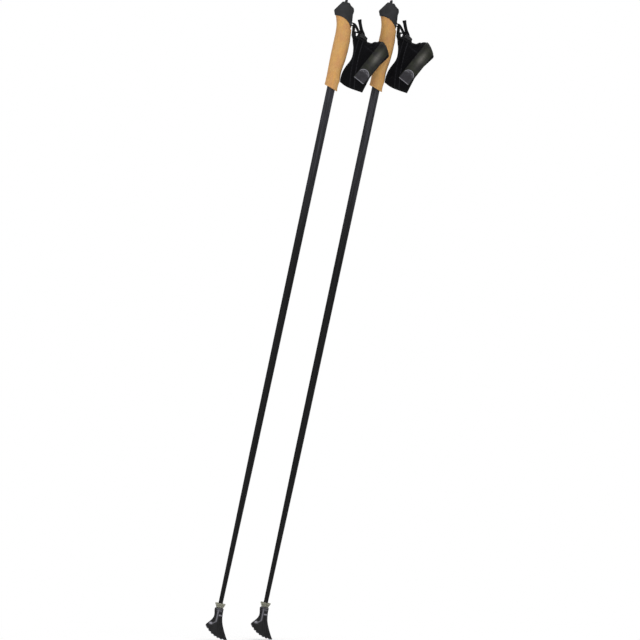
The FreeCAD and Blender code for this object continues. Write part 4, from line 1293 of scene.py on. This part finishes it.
def build_floor():
    """A plain pale floor that goes from lit near the feet to plain white for the camera beyond.

    The share of white rises smoothly with the distance from the pair's middle.
    """
    finish = Finish("floor", 0.9, Specular_IOR_Level=0.1)
    cloud = finish.noise(finish.pole_space(), 400.0)
    finish.colour(finish.mix(cloud, (0.95, 0.95, 0.95, 1), (0.97, 0.97, 0.97, 1)))
    place = finish.node("ShaderNodeTexCoord", output="Object")
    distance = finish.node("ShaderNodeVectorMath", {"operation": "LENGTH"}, [place], output="Value")
    fade = distance.between(FADE_START, FADE_END, FADE_LEAST, FADE_MOST)
    to_camera = finish.node("ShaderNodeLightPath", output="Is Camera Ray")
    lit = Value(finish, finish.shader.outputs["BSDF"])
    white = finish.node("ShaderNodeEmission")
    mixed = finish.node("ShaderNodeMixShader", None, [fade * to_camera, lit, white])
    finish.tree.links.new(mixed.socket, finish.tree.nodes["Material Output"].inputs["Surface"])
    corners = [(x * FLOOR_REACH, y * FLOOR_REACH, 0) for x, y in ((-1, -1), (1, -1), (1, 1), (-1, 1))]
    mesh = bpy.data.meshes.new("floor")
    mesh.from_pydata(corners, [], [(0, 1, 2, 3)])
    mesh.materials.append(finish.material)
    floor = bpy.data.objects.new("floor", mesh)
    bpy.context.scene.collection.objects.link(floor)


def build_camera():
    """A level camera far off on the outward side of the gloves, framing the pair from top to toe."""
    settings = bpy.context.scene.pole_stage
    camera = bpy.data.cameras.new("camera")
    camera.lens = settings.lens
    camera.sensor_width = 36.0
    camera.clip_end = 100.0
    thing = bpy.data.objects.new("camera", camera)
    bpy.context.scene.collection.objects.link(thing)
    plane = POLE["a"].grip.y
    distance = settings.lens / camera.sensor_width * settings.view_width
    aim(thing, (settings.view_x, plane - distance, settings.view_z),
        (settings.view_x, plane, settings.view_z))
    bpy.context.scene.camera = thing


# ---- settings, operators and panel ----------------------------------------------------


class GloveSettings(bpy.types.PropertyGroup):
    """How the glove's fabric settles."""

    pressure: bpy.props.FloatProperty(name="Pressure", description="Air pressure inside the glove",
                                      default=2.5)
    cap: bpy.props.FloatProperty(name="Cap", description="Most that the fabric may move, in millimetres",
                                 default=2.0)
    frames: bpy.props.IntProperty(name="Frames", description="Steps of the cloth simulation", default=20)


class StageSettings(bpy.types.PropertyGroup):
    """Camera and strength of the room's light."""

    lens: bpy.props.FloatProperty(name="Lens", description="Focal length in millimetres", default=500.0)
    view_width: bpy.props.FloatProperty(name="View width", description="Width seen at the first pole",
                                        default=1.1776, unit="LENGTH")
    view_x: bpy.props.FloatProperty(name="View x", description="Place of the view's middle", default=0.0002,
                                    unit="LENGTH")
    view_z: bpy.props.FloatProperty(name="View height", description="Height of the view's middle",
                                    default=0.5898, unit="LENGTH")
    ambient: bpy.props.FloatProperty(name="Ambient", description="Strength of the room's light", default=0.46)


class PoleOperator:
    """Runs one dressing function on each pole."""

    bl_options = {"REGISTER", "UNDO"}
    work = ()

    def execute(self, context):
        for pole in POLE.values():
            for piece in self.work:
                piece(pole)
        return {"FINISHED"}


class POLES_OT_materials(bpy.types.Operator):
    """Make every material"""

    bl_idname = "poles.materials"
    bl_label = "Materials"

    def execute(self, context):
        MATERIALS.update(make_materials())
        return {"FINISHED"}


class POLES_OT_shaft(PoleOperator, bpy.types.Operator):
    """Finish the shafts and the inner pieces"""

    bl_idname = "poles.shaft"
    bl_label = "Shafts"
    work = (dress_shaft,)


class POLES_OT_grip(PoleOperator, bpy.types.Operator):
    """Build the cork sleeves, heads and wedges"""

    bl_idname = "poles.grip"
    bl_label = "Grips"
    work = (dress_cork, dress_head)


class POLES_OT_strap(PoleOperator, bpy.types.Operator):
    """Build the webbing, keepers, buckles and tails"""

    bl_idname = "poles.strap"
    bl_label = "Straps"
    work = (dress_strap, dress_yoke, dress_buckle, dress_tail)


class POLES_OT_glove(PoleOperator, bpy.types.Operator):
    """Build the gloves, linings and bindings"""

    bl_idname = "poles.glove"
    bl_label = "Gloves"
    work = (dress_glove,)


class POLES_OT_closure(PoleOperator, bpy.types.Operator):
    """Build the wrist bands, flaps, patches and tabs"""

    bl_idname = "poles.closure"
    bl_label = "Closures"
    work = (dress_band, dress_closure)


class POLES_OT_foot(PoleOperator, bpy.types.Operator):
    """Build the collars and paws"""

    bl_idname = "poles.foot"
    bl_label = "Feet"
    work = (dress_collar, dress_paw)


class POLES_OT_stage(bpy.types.Operator):
    """Build the floor, the room, the lamps and the camera"""

    bl_idname = "poles.stage"
    bl_label = "Stage"

    def execute(self, context):
        context.scene.view_settings.view_transform = "Standard"
        build_world()
        build_floor()
        for name, (place, size, power) in LAMPS.items():
            add_lamp(name, place, LAMP_TARGET, size, power)
        build_camera()
        return {"FINISHED"}


class POLES_PT_panel(bpy.types.Panel):
    """Buttons in the order of work"""

    bl_idname = "POLES_PT_panel"
    bl_label = "Walking poles"
    bl_space_type = "VIEW_3D"
    bl_region_type = "UI"
    bl_category = "Poles"

    def draw(self, context):
        for settings in (context.scene.pole_glove, context.scene.pole_stage):
            for name in settings.__annotations__:
                self.layout.prop(settings, name)
        for step in STEPS:
            self.layout.operator(step.bl_idname)


STEPS = (POLES_OT_materials, POLES_OT_shaft, POLES_OT_grip, POLES_OT_strap, POLES_OT_glove,
         POLES_OT_closure, POLES_OT_foot, POLES_OT_stage)
CLASSES = (GloveSettings, StageSettings, *STEPS, POLES_PT_panel)


def register():
    """Register the classes and hang the settings on the scene."""
    for item in CLASSES:
        bpy.utils.register_class(item)
    bpy.types.Scene.pole_glove = bpy.props.PointerProperty(type=GloveSettings)
    bpy.types.Scene.pole_stage = bpy.props.PointerProperty(type=StageSettings)


def unregister():
    """Take the settings and classes away again."""
    del bpy.types.Scene.pole_stage
    del bpy.types.Scene.pole_glove
    for item in reversed(CLASSES):
        bpy.utils.unregister_class(item)


def main():
    """Build the pair step by step."""
    register()
    for step in STEPS:
        group, name = step.bl_idname.split(".")
        getattr(getattr(bpy.ops, group), name)()


if __name__ == "__main__":
    main()
